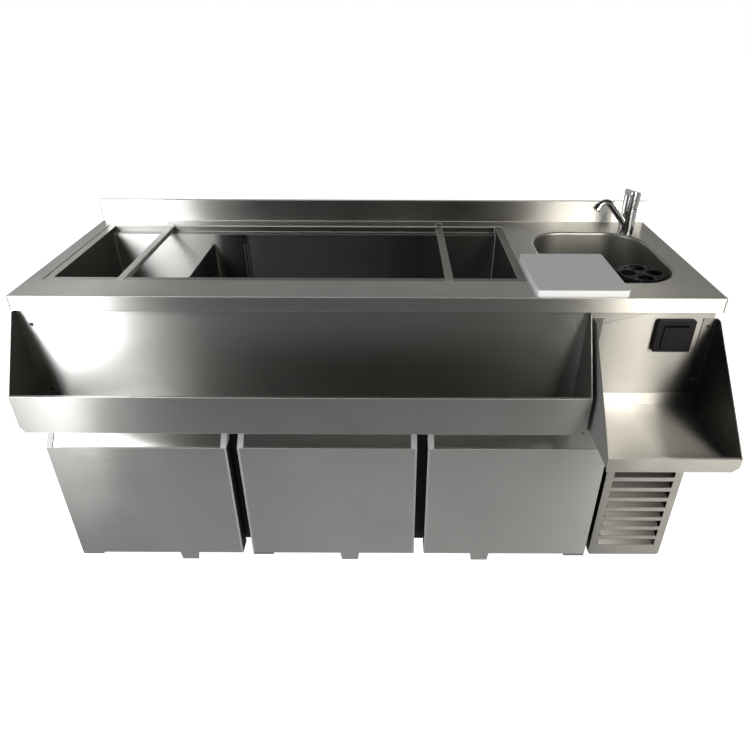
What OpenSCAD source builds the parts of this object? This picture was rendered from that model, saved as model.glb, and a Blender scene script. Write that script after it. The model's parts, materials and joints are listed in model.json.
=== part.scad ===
// Refrigerated bar station: a worktop with an ice well, a sink bowl with mixer tap and glass
// rinser, a speed rail, a blender shelf and a three-door cabinet with its cooling unit.
// Millimetres. Places are worked out from the left end, the front edge and the floor, and
// placed() then centres the station on the origin, with +Z up and its front towards -Y.

/* [Worktop] */
// Width of the worktop
worktop_w = 1800; // [1760:10:1900]
// Depth of the worktop from its front edge to the face of the backsplash
worktop_d = 600; // [590:5:660]
// Height of the worktop above the floor
worktop_h = 950; // [945:1:990]
// Thickness of the worktop sheet
top_t = 2; // [1.5:0.1:2.5]
// Height of the folded edge
fold_h = 40; // [34:1:41]
// Width of the return under the folded edge
fold_return = 12; // [8:1:15]
// Height of the backsplash
splash_h = 70; // [50:1:100]
// Thickness of the backsplash
splash_t = 10; // [8:1:16]

/* [Ice well] */
// Distance from the left end to the opening of the well
well_left = 38; // [32:1:50]
// Distance from the right end to the opening of the well
well_right = 480; // [476:1:500]
// Distance from the front edge to the opening of the well
well_front = 104; // [100:1:112]
// Distance from the opening of the well to the backsplash
well_rear = 52; // [50:1:60]
// Depth of the well below the worktop
well_h = 260; // [200:5:280]
// Thickness of the liner sheet
liner_t = 2; // [1.5:0.1:2.5]
// Width of the liner that laps under the worktop
lap = 12; // [8:1:14]
// Width of the visible strip at the front and the sides
strip_w = 22; // [16:1:26]
// Width of the rear ledge
ledge_w = 26; // [20:1:30]
// Drop from the worktop to the rear ledge
ledge_drop = 20; // [14:1:24]
// Thickness of the foam round the well
well_foam = 25; // [15:1:26]
// Radius of the drain pipe of the well
well_drain_r = 16; // [12:0.5:20]

/* [Dividers] */
// Width of a divider bar
bar_w = 20; // [16:1:24]
// Depth of a divider bar
bar_h = 14; // [10:1:18]
// Thickness of the sheet of the bars and the partition
bar_t = 2; // [1.5:0.1:2.4]
// Height of the finger tab at the rear of a bar
bar_tab = 12; // [6:1:16]
// How far the partition lies below the worktop
partition_drop = 52; // [45:1:70]
// How far a guide rib stands out from the wall
rib_out = 5; // [3:0.5:7]
// Width of a guide rib
rib_w = 4; // [3:0.5:5]

/* [Sink bowl] */
// Distance from the right end to the bowl
bowl_right = 66; // [60:1:68]
// Width of the bowl
bowl_w = 340; // [330:1:342]
// Distance from the front edge to the bowl
bowl_front = 100; // [98:1:110]
// Distance from the bowl to the backsplash
bowl_rear = 106; // [94:1:110]
// Depth of the bowl below the worktop
bowl_h = 180; // [150:5:200]
// Radius of the upright corners
bowl_r = 110; // [100:1:112]
// Radius between the wall and the floor
bowl_floor_r = 35; // [25:1:45]
// Radius of the rolled rim
rim_r = 7; // [5:0.5:7]
// Radius of the waste hole
waste_r = 26; // [22:0.5:28]
// Radius of the waste pipe
waste_pipe_r = 20; // [16:0.5:21]

/* [Cutting board] */
// Width of the board
board_w = 230; // [200:5:240]
// Depth of the board
board_d = 253; // [240:1:260]
// Thickness of the board
board_t = 18; // [12:1:20]
// Corner radius of the board
board_r = 6; // [3:1:12]

/* [Tap] */
// Radius of the tap body
tap_r = 23; // [21:0.5:23.5]
// Height of the lever's pivot above the worktop
tap_pivot_h = 84; // [82:1:95]
// Height of the lever's hood above the pivot
hood_top = 51; // [45:1:60]
// Reach of the spout from the body's axis to the outlet
spout_reach = 130; // [115:1:135]
// Height of the outlet above the worktop
spout_h = 87; // [84:1:95]
// Angle of the spout, anticlockwise from the right-hand end
spout_angle = 201; // [190:1:215]
// Length of the lever from the body's axis
lever_l = 29; // [26:1:34]

/* [Glass rinser] */
// Radius of the rinser cup
rinser_r = 64; // [55:1:65]
// Depth of the rinser cup
rinser_h = 32; // [30:1:36]
// Depth of the rinser's ring below the worktop
rinser_drop = 14; // [12:1:20]
// Travel of the spider when a glass is pressed on it
rinser_travel = 6; // [3:0.5:7]

/* [Speed rail and shelf] */
// Thickness of the sheet of the rail and the shelf
rail_t = 2; // [1.5:0.1:2.5]
// How far the speed rail stands in front of the worktop
rail_reach = 118; // [100:1:125]
// Height of the lip of the speed rail
lip_h = 113; // [90:1:118]
// How far the bottom of the speed rail lies below the worktop
rail_drop = 334; // [300:1:340]
// Chamfer of the lower corners of the lips
lip_chamfer = 16; // [8:1:20]
// Width of the blender shelf
shelf_w = 320; // [310:1:330]
// How far the blender shelf stands in front of the worktop
shelf_reach = 253; // [240:1:260]
// How far the underside of the shelf lies below the worktop
shelf_drop = 334; // [320:1:336]
// Height of the shelf's lip
shelf_lip_h = 40; // [32:1:44]
// Gap between the speed rail and the shelf
rail_gap = 13; // [10:1:16]
// Radius of a screw head
screw_r = 5; // [4:0.5:6]

/* [Socket] */
// Width of the socket frame
socket_w = 97; // [90:1:100]
// Height of the socket frame
socket_h = 91; // [86:1:96]
// How far the frame stands out from the apron
socket_out = 14; // [12:1:16]
// Distance from the right end to the middle of the socket
socket_right = 106; // [103:1:110]
// How far the middle of the socket frame lies below the worktop
socket_drop = 111; // [100:1:115]

/* [Cabinet and doors] */
// Height of the doors' lower edge above the floor
door_bottom = 108; // [100:1:115]
// How far the doors' upper edges lie below the worktop
door_drop = 394; // [390:1:410]
// Depth of a door, front to back
door_t = 46; // [42:1:48]
// Rise of the slanted grip above the flat front
grip_h = 36; // [30:1:38]
// Gap between two doors
door_gap = 30.5; // [26:0.5:36]
// How far the doors stand in front of the worktop edge
door_out = 61; // [58:1:64]
// Width of the grille panel
grille_w = 217; // [205:1:219]
// Gap between the last door and the grille panel
grille_gap = 12; // [10:0.5:14]
// Number of slots in the grille panel
slot_count = 9; // [6:1:9]
// Height of one slot
slot_h = 25; // [18:1:27]
// Thickness of the cabinet foam
foam_t = 34; // [30:1:36]
// Distance from a door's side edge to its hinge pins
hinge_inset = 10; // [9:0.5:11]

/* [Feet] */
// Radius of a leg
leg_r = 20; // [16:1:25]
// Height of a foot
foot_h = 25; // [18:1:35]

/* [Hidden] */

// Clearances and cuts
cut = 1;
fit_gap = 0.3;
run_gap = 0.08;
slide_gap = 0.5;

// Worktop
overall_d = shelf_reach + worktop_d + splash_t;
under = worktop_h - top_t;
body_inset = 8;
apron_y = 20;
body_setback = 10;
back_y = worktop_d - body_setback;
splash_hem = 25;

// Ice well
well_w = worktop_w - well_left - well_right;
well_d = worktop_d - well_front - well_rear;
well_x = [well_left, well_left + well_w];
well_y = [well_front, well_front + well_d];
in_x = [well_x[0] + strip_w, well_x[1] - strip_w];
in_y = [well_y[0] + strip_w, well_y[1] - ledge_w];
well_floor = worktop_h - well_h;
ledge_z = worktop_h - ledge_drop;
drain_x_share = 0.5;
drain_flange_r = 1.9 * well_drain_r;
drain_l = 60;

// Dividers: places are shares of the well's inner width
bar_left_share = 0.1476;
bar_right_share = 0.8524;
partition_share = 0.2573;
guide_shares = [partition_share, 0.343, 0.714];
rib_play = 2;
rib_gap = bar_t + 2 * slide_gap + rib_play;

// Sink bowl
bowl_t = 2;
bowl_lap = 5;
bowl_x = [worktop_w - bowl_right - bowl_w, worktop_w - bowl_right];
bowl_y = [bowl_front, worktop_d - bowl_rear];
bowl_floor = worktop_h - bowl_h;
waste_x = (bowl_x[0] + bowl_x[1]) / 2 - 1.5 * waste_r;
waste_y = (bowl_y[0] + bowl_y[1]) / 2 + waste_r;
strainer_r = 1.35 * waste_r;
strainer_body_h = 26;
tailpipe_l = 90;
arc_n = 6;

// Cutting board
board_in = 6;
board_x = well_x[1] + board_in;
board_y = board_in;

// Tap
tap_clear = 19;
tap_place_angle = 54;
tap_off = bowl_r + rim_r + bowl_lap + tap_clear;
tap_x = bowl_x[1] - bowl_r + tap_off * cos(tap_place_angle);
tap_y = bowl_y[1] - bowl_r + tap_off * sin(tap_place_angle);
tap_foot_r = 1.02 * tap_r;
tap_foot_h = 4;
tap_core_r = 0.85 * tap_r;
collar_z = [14, 62];
shank_r = 0.62 * tap_r;
shank_l = 42;
tap_ball_r = 0.88 * tap_r;
ball_sink = 6;
tap_top_h = tap_pivot_h - ball_sink;
stem_r = 0.3 * tap_r;
cap_r = 1.03 * tap_r;
tail_r = 5;
tail_l = 180;

// Glass rinser
rinser_in = [78, 100];
rinser_x = bowl_x[1] - rinser_in[0];
rinser_y = bowl_y[0] + rinser_in[1];
rinser_top = worktop_h - rinser_drop;
rinser_bottom = rinser_top - rinser_h;
rinser_wall = 3;
riser_r = 9;
riser_tail = 45;
spider_t = 5;

// Speed rail and shelf
rail_x = [0, worktop_w - shelf_w - rail_gap];
rail_floor = worktop_h - rail_drop;
rail_set = 10;
rail_top = worktop_h - fold_h - rail_set;
rail_end_top = worktop_h - fold_h - rail_set * 0.4;
rail_back_y = apron_y - rail_t;
shelf_x = [worktop_w - shelf_w, worktop_w];
shelf_floor = worktop_h - shelf_drop;
shelf_set = 24;
shelf_top = worktop_h - fold_h - shelf_set;
shelf_flange_l = 24;
shelf_flange_r = 36;
upstand_h = 40;
end_top_w = 22;
screw_h = 2.5;
screw_shank_r = 2.4;
screw_l = 12;
rail_screw_left = 31;
rail_screw_right = 34;
rail_screw_top = 87;
rail_screw_low = 47;
shelf_screw_top = 86;
shelf_screw_low = 86;
rail_screw_x = [rail_screw_left, rail_x[1] - rail_screw_right];
rail_screw_z = [worktop_h - rail_screw_top, rail_floor + rail_screw_low];
shelf_screw_x = [shelf_x[0] + rail_t + shelf_flange_l / 2, shelf_x[1] - shelf_flange_r / 2];
shelf_screw_z = [worktop_h - shelf_screw_top, shelf_floor + shelf_screw_low];

// Socket
socket_x = worktop_w - socket_right;
socket_z = worktop_h - socket_drop;
lid_w = 62;
lid_h = 64;
lid_t = 9;
lid_out = 4;
lid_low = 4;
lid_axis = 4;
lid_back = 2;
lid_pin_r = 1.5;
lid_pin_l = 1.6;
pocket_d = 8;
insert_r = 21.7;
insert_l = 34;

// Cabinet and doors
door_top = worktop_h - door_drop;
door_h = door_top - grip_h - door_bottom;
cab_front = 9;
cab_x = [body_inset, worktop_w - body_inset];
cab_y = [door_t - door_out + cab_front, back_y];
cab_under = 7;
cab_z = [door_bottom + cab_under, door_top - cut];
shell_t = 1.5;
face_t = 1.5;
door_left = 9;
grille_right = 10;
door_w = (worktop_w - door_left - grille_gap - grille_w - grille_right - 2 * door_gap) / 3;
door_pitch = door_w + door_gap;
door_y = [-door_out, -door_out + door_t];
door_z = [door_bottom, door_bottom + door_h];
skin_t = 1.2;
grip_step = 5;
grip_back = 5;
cap_w = 16;
gasket_w = 12;
gasket_inset = 12;
open_inset = 28;
pin_r = 4;
pin_l = 15;
pin_in = 36;
pin_in_right = 12;
function pin_y(side) = door_y[0] + (side < 0 ? pin_in : pin_in_right);
tab_w = 60;
tab_h = 33;
tab_t = 2;
tab_shares = [0.6, 0.54, 0.59];
tab_slant = 5;
bulkhead_gap = 6;
bulkhead_x = door_left + 3 * door_w + 2 * door_gap + bulkhead_gap;
grille_x = [worktop_w - grille_right - grille_w, worktop_w - grille_right];
slot_w = 173;
slot_low = 41;
slot_high = 71.6;
fin_t = 1.2;
machine_x = [bulkhead_x + shell_t, cab_x[1] - shell_t];
machine_mid = (machine_x[0] + machine_x[1]) / 2;

// Feet
leg_x_shares = [0.035, 0.5, 0.965];
leg_front = 90;
leg_back = 70;
leg_y = [leg_front, worktop_d - leg_back];
leg_plate = 70;
leg_plate_t = 3;

steel = [0.72, 0.71, 0.69];
dark_steel = [0.4, 0.4, 0.39];
chrome = [0.85, 0.86, 0.88];
black = [0.05, 0.05, 0.06];
foam = [0.9, 0.86, 0.7];
white = [0.93, 0.93, 0.93];
grey_plastic = [0.75, 0.76, 0.77];
copper = [0.72, 0.45, 0.3];

module placed() {
    translate([-worktop_w / 2, shelf_reach - overall_d / 2, 0]) children();
}

// A block between two places on each axis
module block(x, y, z) {
    translate([x[0], y[0], z[0]]) cube([x[1] - x[0], y[1] - y[0], z[1] - z[0]]);
}

// A profile of [y, z] points drawn out along x
module along_x(x, points) {
    translate([x[0], 0, 0])
        rotate([90, 0, 90])
            linear_extrude(height = x[1] - x[0]) polygon(points);
}

// A profile of [x, z] points drawn out along y
module along_y(y, points) {
    translate([0, y[1], 0])
        rotate([90, 0, 0])
            linear_extrude(height = y[1] - y[0]) polygon(points);
}

// An upright block with round corners
module round_block(x, y, z, r) {
    block([x[0] + r, x[1] - r], y, z);
    block(x, [y[0] + r, y[1] - r], z);
    for (cx = [x[0] + r, x[1] - r], cy = [y[0] + r, y[1] - r])
        translate([cx, cy, z[0]]) cylinder(r = r, h = z[1] - z[0], $fn = 64);
}

// A tube that stands upright
module tube(x, y, z, r_out, r_in) {
    translate([x, y, z[0]]) difference() {
        cylinder(r = r_out, h = z[1] - z[0], $fn = 64);
        translate([0, 0, -cut]) cylinder(r = r_in, h = z[1] - z[0] + 2 * cut, $fn = 64);
    }
}

// A round bar that lies along y
module rod_y(x, y, z, r) {
    translate([x, y[1], z]) rotate([90, 0, 0]) cylinder(r = r, h = y[1] - y[0], $fn = 48);
}

// A round bar that lies along x
module rod_x(x, y, z, r) {
    translate([x[0], y, z]) rotate([0, 90, 0]) cylinder(r = r, h = x[1] - x[0], $fn = 48);
}

// A profile of [r, z] points carried round a rectangle with round corners of radius r
module round_rectangle_sweep(x, y, r, points) {
    corners = [[x[1] - r, y[1] - r, 0], [x[0] + r, y[1] - r, 90],
               [x[0] + r, y[0] + r, 180], [x[1] - r, y[0] + r, 270]];
    runs = [y[1] - y[0] - 2 * r, x[1] - x[0] - 2 * r, y[1] - y[0] - 2 * r, x[1] - x[0] - 2 * r];
    for (i = [0 : 3])
        translate([corners[i][0], corners[i][1], 0]) rotate([0, 0, corners[i][2]]) {
            rotate_extrude(angle = 90, $fn = 96) polygon(points);
            rotate([90, 0, 0]) linear_extrude(height = runs[i]) polygon(points);
        }
}

// Worktop, folded edges and backsplash in one sheet, with the cut-outs for the well and the bowl
module worktop() {
    splash_y = [worktop_d, worktop_d + splash_t];
    splash_top = worktop_h + splash_h;
    color(steel) placed() difference() {
        union() {
            block([0, worktop_w], [0, worktop_d + top_t], [under, worktop_h]);
            block([0, worktop_w], [0, top_t], [worktop_h - fold_h, worktop_h]);
            block([0, worktop_w], [0, fold_return],
                  [worktop_h - fold_h, worktop_h - fold_h + top_t]);
            for (x = [0, worktop_w - top_t])
                block([x, x + top_t], [0, worktop_d + top_t], [worktop_h - fold_h, worktop_h]);
            block([0, worktop_w], [worktop_d, worktop_d + top_t],
                  [worktop_h - fold_h, splash_top]);
            block([0, worktop_w], splash_y, [splash_top - top_t, splash_top]);
            block([0, worktop_w], [splash_y[1] - top_t, splash_y[1]],
                  [splash_top - splash_hem, splash_top]);
            for (x = [0, worktop_w - top_t])
                block([x, x + top_t], splash_y, [under, splash_top]);
        }
        block(well_x, well_y, [under - cut, worktop_h + cut]);
        round_block([bowl_x[0] - rim_r, bowl_x[1] + rim_r], [bowl_y[0] - rim_r, bowl_y[1] + rim_r],
                    [under - cut, worktop_h + cut], bowl_r + rim_r);
        translate([tap_x, tap_y, under - cut])
            cylinder(r = shank_r + fit_gap, h = top_t + 2 * cut, $fn = 64);
    }
}

// Two channels that stiffen the worktop in front of the well and behind it
top_rail_h = 30;
top_rail_front = [apron_y + rail_t + fit_gap,
                  min(well_front - lap, bowl_front - rim_r - bowl_lap) - 2 * fit_gap];
top_rail_back = [well_y[1] + lap + fit_gap, back_y - shell_t - fit_gap];
top_rail_x = [cab_x[0] + shell_t + fit_gap, cab_x[1] - shell_t - fit_gap];
module top_rails() {
    color(dark_steel) placed() for (y = [top_rail_front, top_rail_back]) difference() {
        block(top_rail_x, y, [under - top_rail_h, under]);
        block([top_rail_x[0] - cut, top_rail_x[1] + cut], [y[0] + shell_t, y[1] - shell_t],
              [under - top_rail_h - cut, under - shell_t]);
    }
}

// Welded liner of the ice well: strip at the worktop, rear ledge, walls and floor
module well_liner() {
    out_x = [in_x[0] - liner_t, in_x[1] + liner_t];
    color(steel) placed() difference() {
        union() {
            block([well_x[0] - lap, well_x[1] + lap], [well_y[0] - lap, well_y[1] + lap],
                  [under - liner_t, under]);
            block(out_x, [in_y[0] - liner_t, in_y[1] + liner_t], [well_floor - liner_t, under]);
            block(out_x, [in_y[1], well_y[1] + liner_t], [ledge_z - liner_t, under]);
        }
        block(in_x, in_y, [well_floor, worktop_h + cut]);
        block(in_x, [in_y[1] - cut, well_y[1]], [ledge_z, worktop_h + cut]);
        translate([well_drain_x, well_drain_y, well_floor - liner_t - cut])
            cylinder(r = well_drain_r + fit_gap, h = liner_t + 2 * cut, $fn = 64);
    }
}

// Drain of the well: flange on the floor, pipe and nut below it
well_drain_x = in_x[0] + drain_x_share * (in_x[1] - in_x[0]);
well_drain_y = (in_y[0] + in_y[1]) / 2;
module well_drain() {
    color(chrome) placed() translate([well_drain_x, well_drain_y, 0]) {
        difference() {
            union() {
                translate([0, 0, well_floor])
                    cylinder(r = drain_flange_r, h = liner_t, $fn = 64);
                translate([0, 0, well_floor - liner_t - drain_l])
                    cylinder(r = well_drain_r, h = drain_l + 2 * liner_t, $fn = 64);
                translate([0, 0, well_floor - 2 * liner_t - drain_nut_h])
                    cylinder(r = drain_nut_r, h = drain_nut_h + liner_t, $fn = 6);
                translate([-well_drain_x, -well_drain_y, 0])
                    rear_pipe(well_drain_x, well_drain_y, well_out_z, well_drain_r - liner_t / 2,
                              well_drain_r);
            }
            translate([0, 0, well_floor - drain_l])
                cylinder(r = well_drain_r - liner_t, h = drain_l + 2 * liner_t, $fn = 64);
            translate([-well_drain_x, -well_drain_y, 0])
                rod_y(well_drain_x, [well_drain_y, worktop_d + splash_t], well_out_z,
                      well_drain_r - 2 * liner_t);
        }
        for (a = [0, 60, 120]) rotate([0, 0, a])
            translate([-well_drain_r, -drain_bar / 2, well_floor])
                cube([2 * well_drain_r, drain_bar, liner_t]);
    }
}
well_out_z = well_floor - liner_t - drain_l + well_drain_r;
drain_nut_h = 8;
drain_nut_r = 1.5 * well_drain_r;
drain_bar = 3;

// The low partition of the well, which lifts out of its guides
partition_x = in_x[0] + partition_share * (in_x[1] - in_x[0]);
partition_z = [well_floor, worktop_h - partition_drop];
module well_partition() {
    color(steel) placed()
        block([partition_x - bar_t / 2, partition_x + bar_t / 2],
              [in_y[0] + slide_gap, in_y[1] - slide_gap], partition_z);
}

// Pairs of ribs on the front and rear walls, which hold a partition upright
module partition_guides() {
    color(steel) placed() for (share = guide_shares, side = [-1, 1]) {
        x = in_x[0] + share * (in_x[1] - in_x[0]) + side * (rib_gap + rib_w) / 2;
        for (y = [[in_y[0], in_y[0] + rib_out], [in_y[1] - rib_out, in_y[1]]])
            block([x - rib_w / 2, x + rib_w / 2], y, partition_z);
    }
}

// A divider bar: a channel with its ends on the front strip and the rear ledge
module divider_bar(share) {
    x = in_x[0] + share * (in_x[1] - in_x[0]);
    bar_x = [x - bar_w / 2, x + bar_w / 2];
    bar_y = [well_y[0] + 2 * cut, well_y[1] - 2 * cut];
    color(steel) placed() {
        block(bar_x, bar_y, [under, worktop_h]);
        for (side = [bar_x[0], bar_x[1] - bar_t]) {
            block([side, side + bar_t], [in_y[0] + 2 * cut, in_y[1] - 2 * cut],
                  [worktop_h - bar_h, under]);
            block([side, side + bar_t], [in_y[1] - 2 * cut, bar_y[1]], [ledge_z, under]);
        }
        block(bar_x, [bar_y[1] - bar_t, bar_y[1]], [ledge_z, worktop_h + bar_tab]);
    }
}
module divider_bar_left() {
    divider_bar(bar_left_share);
}
module divider_bar_right() {
    divider_bar(bar_right_share);
}

// Drawn bowl with a rolled rim, welded under the worktop
function arc(cx, cz, r, from, to) =
    [for (i = [0 : arc_n]) let (a = from + (to - from) * i / arc_n)
        [cx + r * cos(a), cz + r * sin(a)]];
module sink_bowl() {
    rim_c = bowl_r + rim_r;
    rim_z = worktop_h - rim_r;
    low_c = bowl_r - bowl_floor_r;
    low_z = bowl_floor + bowl_floor_r;
    lap_z = under - bowl_t;
    lap_a = 180 - asin((rim_r - 2 * bowl_t) / (rim_r - bowl_t));
    inner = concat(arc(rim_c, rim_z, rim_r, 90, 180), arc(low_c, low_z, bowl_floor_r, 0, -90));
    outer = concat(arc(low_c, low_z, bowl_floor_r + bowl_t, -90, 0),
                   arc(rim_c, rim_z, rim_r - bowl_t, 180, lap_a));
    lip = [[rim_c + bowl_lap, lap_z], [rim_c + bowl_lap, under], [rim_c, under]];
    flat_x = [bowl_x[0] + bowl_floor_r, bowl_x[1] - bowl_floor_r];
    flat_y = [bowl_y[0] + bowl_floor_r, bowl_y[1] - bowl_floor_r];
    color(steel) placed() difference() {
        union() {
            round_rectangle_sweep(bowl_x, bowl_y, bowl_r, concat(inner, outer, lip));
            round_block(flat_x, flat_y, [bowl_floor - bowl_t, bowl_floor], low_c);
        }
        translate([waste_x, waste_y, bowl_floor - bowl_t - cut])
            cylinder(r = waste_r, h = bowl_t + 2 * cut, $fn = 64);
        translate([rinser_x, rinser_y, bowl_floor - bowl_t - cut])
            cylinder(r = riser_r + fit_gap, h = bowl_t + 2 * cut, $fn = 48);
    }
}

// Strainer of the waste: flange, perforated dish and threaded body
strainer_hole_r = 3;
module waste_strainer() {
    color(chrome) placed() translate([waste_x, waste_y, 0]) difference() {
        union() {
            translate([0, 0, bowl_floor]) cylinder(r = strainer_r, h = bowl_t, $fn = 64);
            translate([0, 0, bowl_floor - strainer_body_h])
                cylinder(r = waste_r - fit_gap, h = strainer_body_h + cut, $fn = 64);
        }
        translate([0, 0, bowl_floor - strainer_body_h - cut])
            cylinder(r = waste_r - 2 * bowl_t, h = strainer_body_h + cut - bowl_t / 2, $fn = 64);
        for (a = [0 : 60 : 300]) rotate([0, 0, a])
            translate([waste_r / 2, 0, bowl_floor - 2 * bowl_t])
                cylinder(r = strainer_hole_r, h = 4 * bowl_t, $fn = 24);
    }
}

// Waste pipe under the bowl, with its nut
module waste_tailpipe() {
    top = bowl_floor - strainer_body_h;
    color(grey_plastic) placed() difference() {
        union() {
            translate([waste_x, waste_y, top - tailpipe_l])
                cylinder(r = waste_pipe_r, h = tailpipe_l, $fn = 64);
            translate([waste_x, waste_y, top - waste_r / 2])
                cylinder(r = waste_r, h = waste_r / 2, $fn = 64);
            rear_pipe(waste_x, waste_y, waste_out_z, waste_pipe_r - bowl_t / 2, waste_pipe_r);
        }
        translate([waste_x, waste_y, top - tailpipe_l + bowl_t])
            cylinder(r = waste_pipe_r - bowl_t, h = tailpipe_l, $fn = 64);
        rod_y(waste_x, [waste_y, worktop_d + splash_t], waste_out_z, waste_pipe_r - 2 * bowl_t);
    }
}
waste_out_z = bowl_floor - strainer_body_h - tailpipe_l + waste_pipe_r;

// Black cup of the glass rinser
module rinser_cup() {
    color(black) placed() translate([rinser_x, rinser_y, 0]) difference() {
        union() {
            translate([0, 0, rinser_bottom + rinser_wall])
                cylinder(r = rinser_r, h = rinser_h - rinser_wall - spider_t, $fn = 96);
            translate([0, 0, rinser_bottom])
                cylinder(r1 = rinser_r - rinser_wall, r2 = rinser_r, h = rinser_wall, $fn = 96);
        }
        translate([0, 0, rinser_bottom + rinser_wall])
            cylinder(r = rinser_r - rinser_wall, h = rinser_h, $fn = 96);
        translate([0, 0, rinser_bottom - cut])
            cylinder(r = riser_r + fit_gap, h = rinser_h, $fn = 48);
        for (a = [0 : 45 : 315]) rotate([0, 0, a])
            translate([rinser_r * cup_hole_share, 0, rinser_bottom - cut])
                cylinder(r = 2 * rinser_wall, h = rinser_wall + 2 * cut, $fn = 32);
    }
}
cup_hole_share = 0.62;

// Spider of the rinser: a plate with four round loops round its hub, pressed down by a glass
loop_r = 21.5;
loop_off = 36.5;
vent_off = 50;
vent_r = 5;
hub_r = 13;
hub_l = 14;
hub_roof = 3;
hub_z = [rinser_top + fit_gap - hub_l, rinser_top + fit_gap];
module rinser_spider() {
    z = rinser_top - spider_t + fit_gap;
    color(black) placed() translate([rinser_x, rinser_y, 0]) difference() {
        union() {
            translate([0, 0, z]) cylinder(r = spider_r, h = spider_t, $fn = 96);
            translate([0, 0, hub_z[0]]) cylinder(r = hub_r, h = hub_l, $fn = 48);
        }
        for (a = [0 : 90 : 270]) {
            rotate([0, 0, a]) translate([loop_off, 0, z - cut])
                cylinder(r = loop_r, h = spider_t + 2 * cut, $fn = 64);
            rotate([0, 0, a + 45]) translate([vent_off, 0, z - cut])
                cylinder(r = vent_r, h = spider_t + 2 * cut, $fn = 24);
        }
        translate([0, 0, hub_z[0] - cut])
            cylinder(r = riser_r + run_gap, h = hub_l - hub_roof + cut, $fn = 48);
        translate([0, 0, hub_z[0]]) cylinder(r = jet_r, h = hub_l + cut, $fn = 24);
    }
}
spider_r = rinser_r - rinser_wall - fit_gap * 3;
jet_r = 2;

// Return spring of the spider, round the riser
spring_r = 11;
spring_wire = 0.8;
spring_turns = 4;
spring_steps = 12;
spring_z = [rinser_bottom + rinser_wall, hub_z[0]];
function helix(a, r, z) = [r * cos(a), r * sin(a), z];
module rinser_spring() {
    n = spring_turns * spring_steps;
    rise = spring_z[1] - spring_z[0] - 2 * spring_wire;
    ring = [for (i = [0 : n]) let (a = 360 * i / spring_steps, z = spring_z[0] + spring_wire
        + rise * i / n) for (k = [0 : 5])
        helix(a, spring_r + spring_wire * cos(60 * k), z + spring_wire * sin(60 * k))];
    sides = [for (i = [0 : n - 1], k = [0 : 5]) each [
        [i * 6 + k, i * 6 + (k + 1) % 6, (i + 1) * 6 + k],
        [i * 6 + (k + 1) % 6, (i + 1) * 6 + (k + 1) % 6, (i + 1) * 6 + k]]];
    caps = [for (k = [1 : 4]) each [[0, k + 1, k], [n * 6, n * 6 + k, n * 6 + k + 1]]];
    color(chrome) placed() translate([rinser_x, rinser_y, 0])
        polyhedron(points = ring, faces = [for (f = concat(sides, caps)) [f[2], f[1], f[0]]]);
}

// Riser that feeds the rinser through the floor of the bowl
riser_nut_r = 15;
riser_nut_h = 8;
module rinser_riser() {
    low = bowl_floor - bowl_t;
    color(chrome) placed() {
        tube(rinser_x, rinser_y, [low - riser_tail, rinser_top - hub_roof - rinser_travel
             - slide_gap], riser_r, riser_r / 2);
        tube(rinser_x, rinser_y, [rinser_bottom - riser_nut_h, rinser_bottom], riser_nut_r,
             riser_r - run_gap);
        tube(rinser_x, rinser_y, [bowl_floor, bowl_floor + riser_nut_h / 2], riser_nut_r,
             riser_r - run_gap);
        difference() {
            translate([rinser_x, rinser_y, low - riser_nut_h])
                cylinder(r = riser_nut_r, h = riser_nut_h, $fn = 6);
            translate([rinser_x, rinser_y, low - riser_nut_h - cut])
                cylinder(r = riser_r - run_gap, h = riser_nut_h + 2 * cut, $fn = 48);
        }
    }
}

// Body of the tap, on the worktop behind the bowl's corner
module at_tap(z) {
    placed() translate([tap_x, tap_y, worktop_h + z]) children();
}
module tap_body() {
    color(chrome) at_tap(0) difference() {
        union() {
            cylinder(r = tap_foot_r, h = tap_foot_h, $fn = 64);
            cylinder(r = tap_r, h = collar_z[0] - fit_gap, $fn = 64);
            translate([0, 0, -shank_l]) cylinder(r = tap_core_r - run_gap, h = tap_top_h + shank_l
                - 2 * tap_foot_h, $fn = 64);
            translate([0, 0, collar_z[1] + fit_gap])
                cylinder(r = tap_r, h = tap_top_h - collar_z[1] - fit_gap, $fn = 64);
        }
        translate([0, 0, tap_pivot_h]) sphere(r = tap_ball_r + fit_gap, $fn = 64);
        translate([0, 0, tap_pivot_h - 2 * tap_ball_r])
            cylinder(r = stem_r + run_gap, h = 2 * tap_ball_r, $fn = 32);
        translate([0, 0, -shank_l - cut])
            difference() {
                cylinder(r = tap_core_r + tap_r, h = shank_l + cut, $fn = 64);
                translate([0, 0, -cut])
                    cylinder(r = shank_r - run_gap, h = shank_l + 4 * cut, $fn = 64);
            }
    }
}

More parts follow.
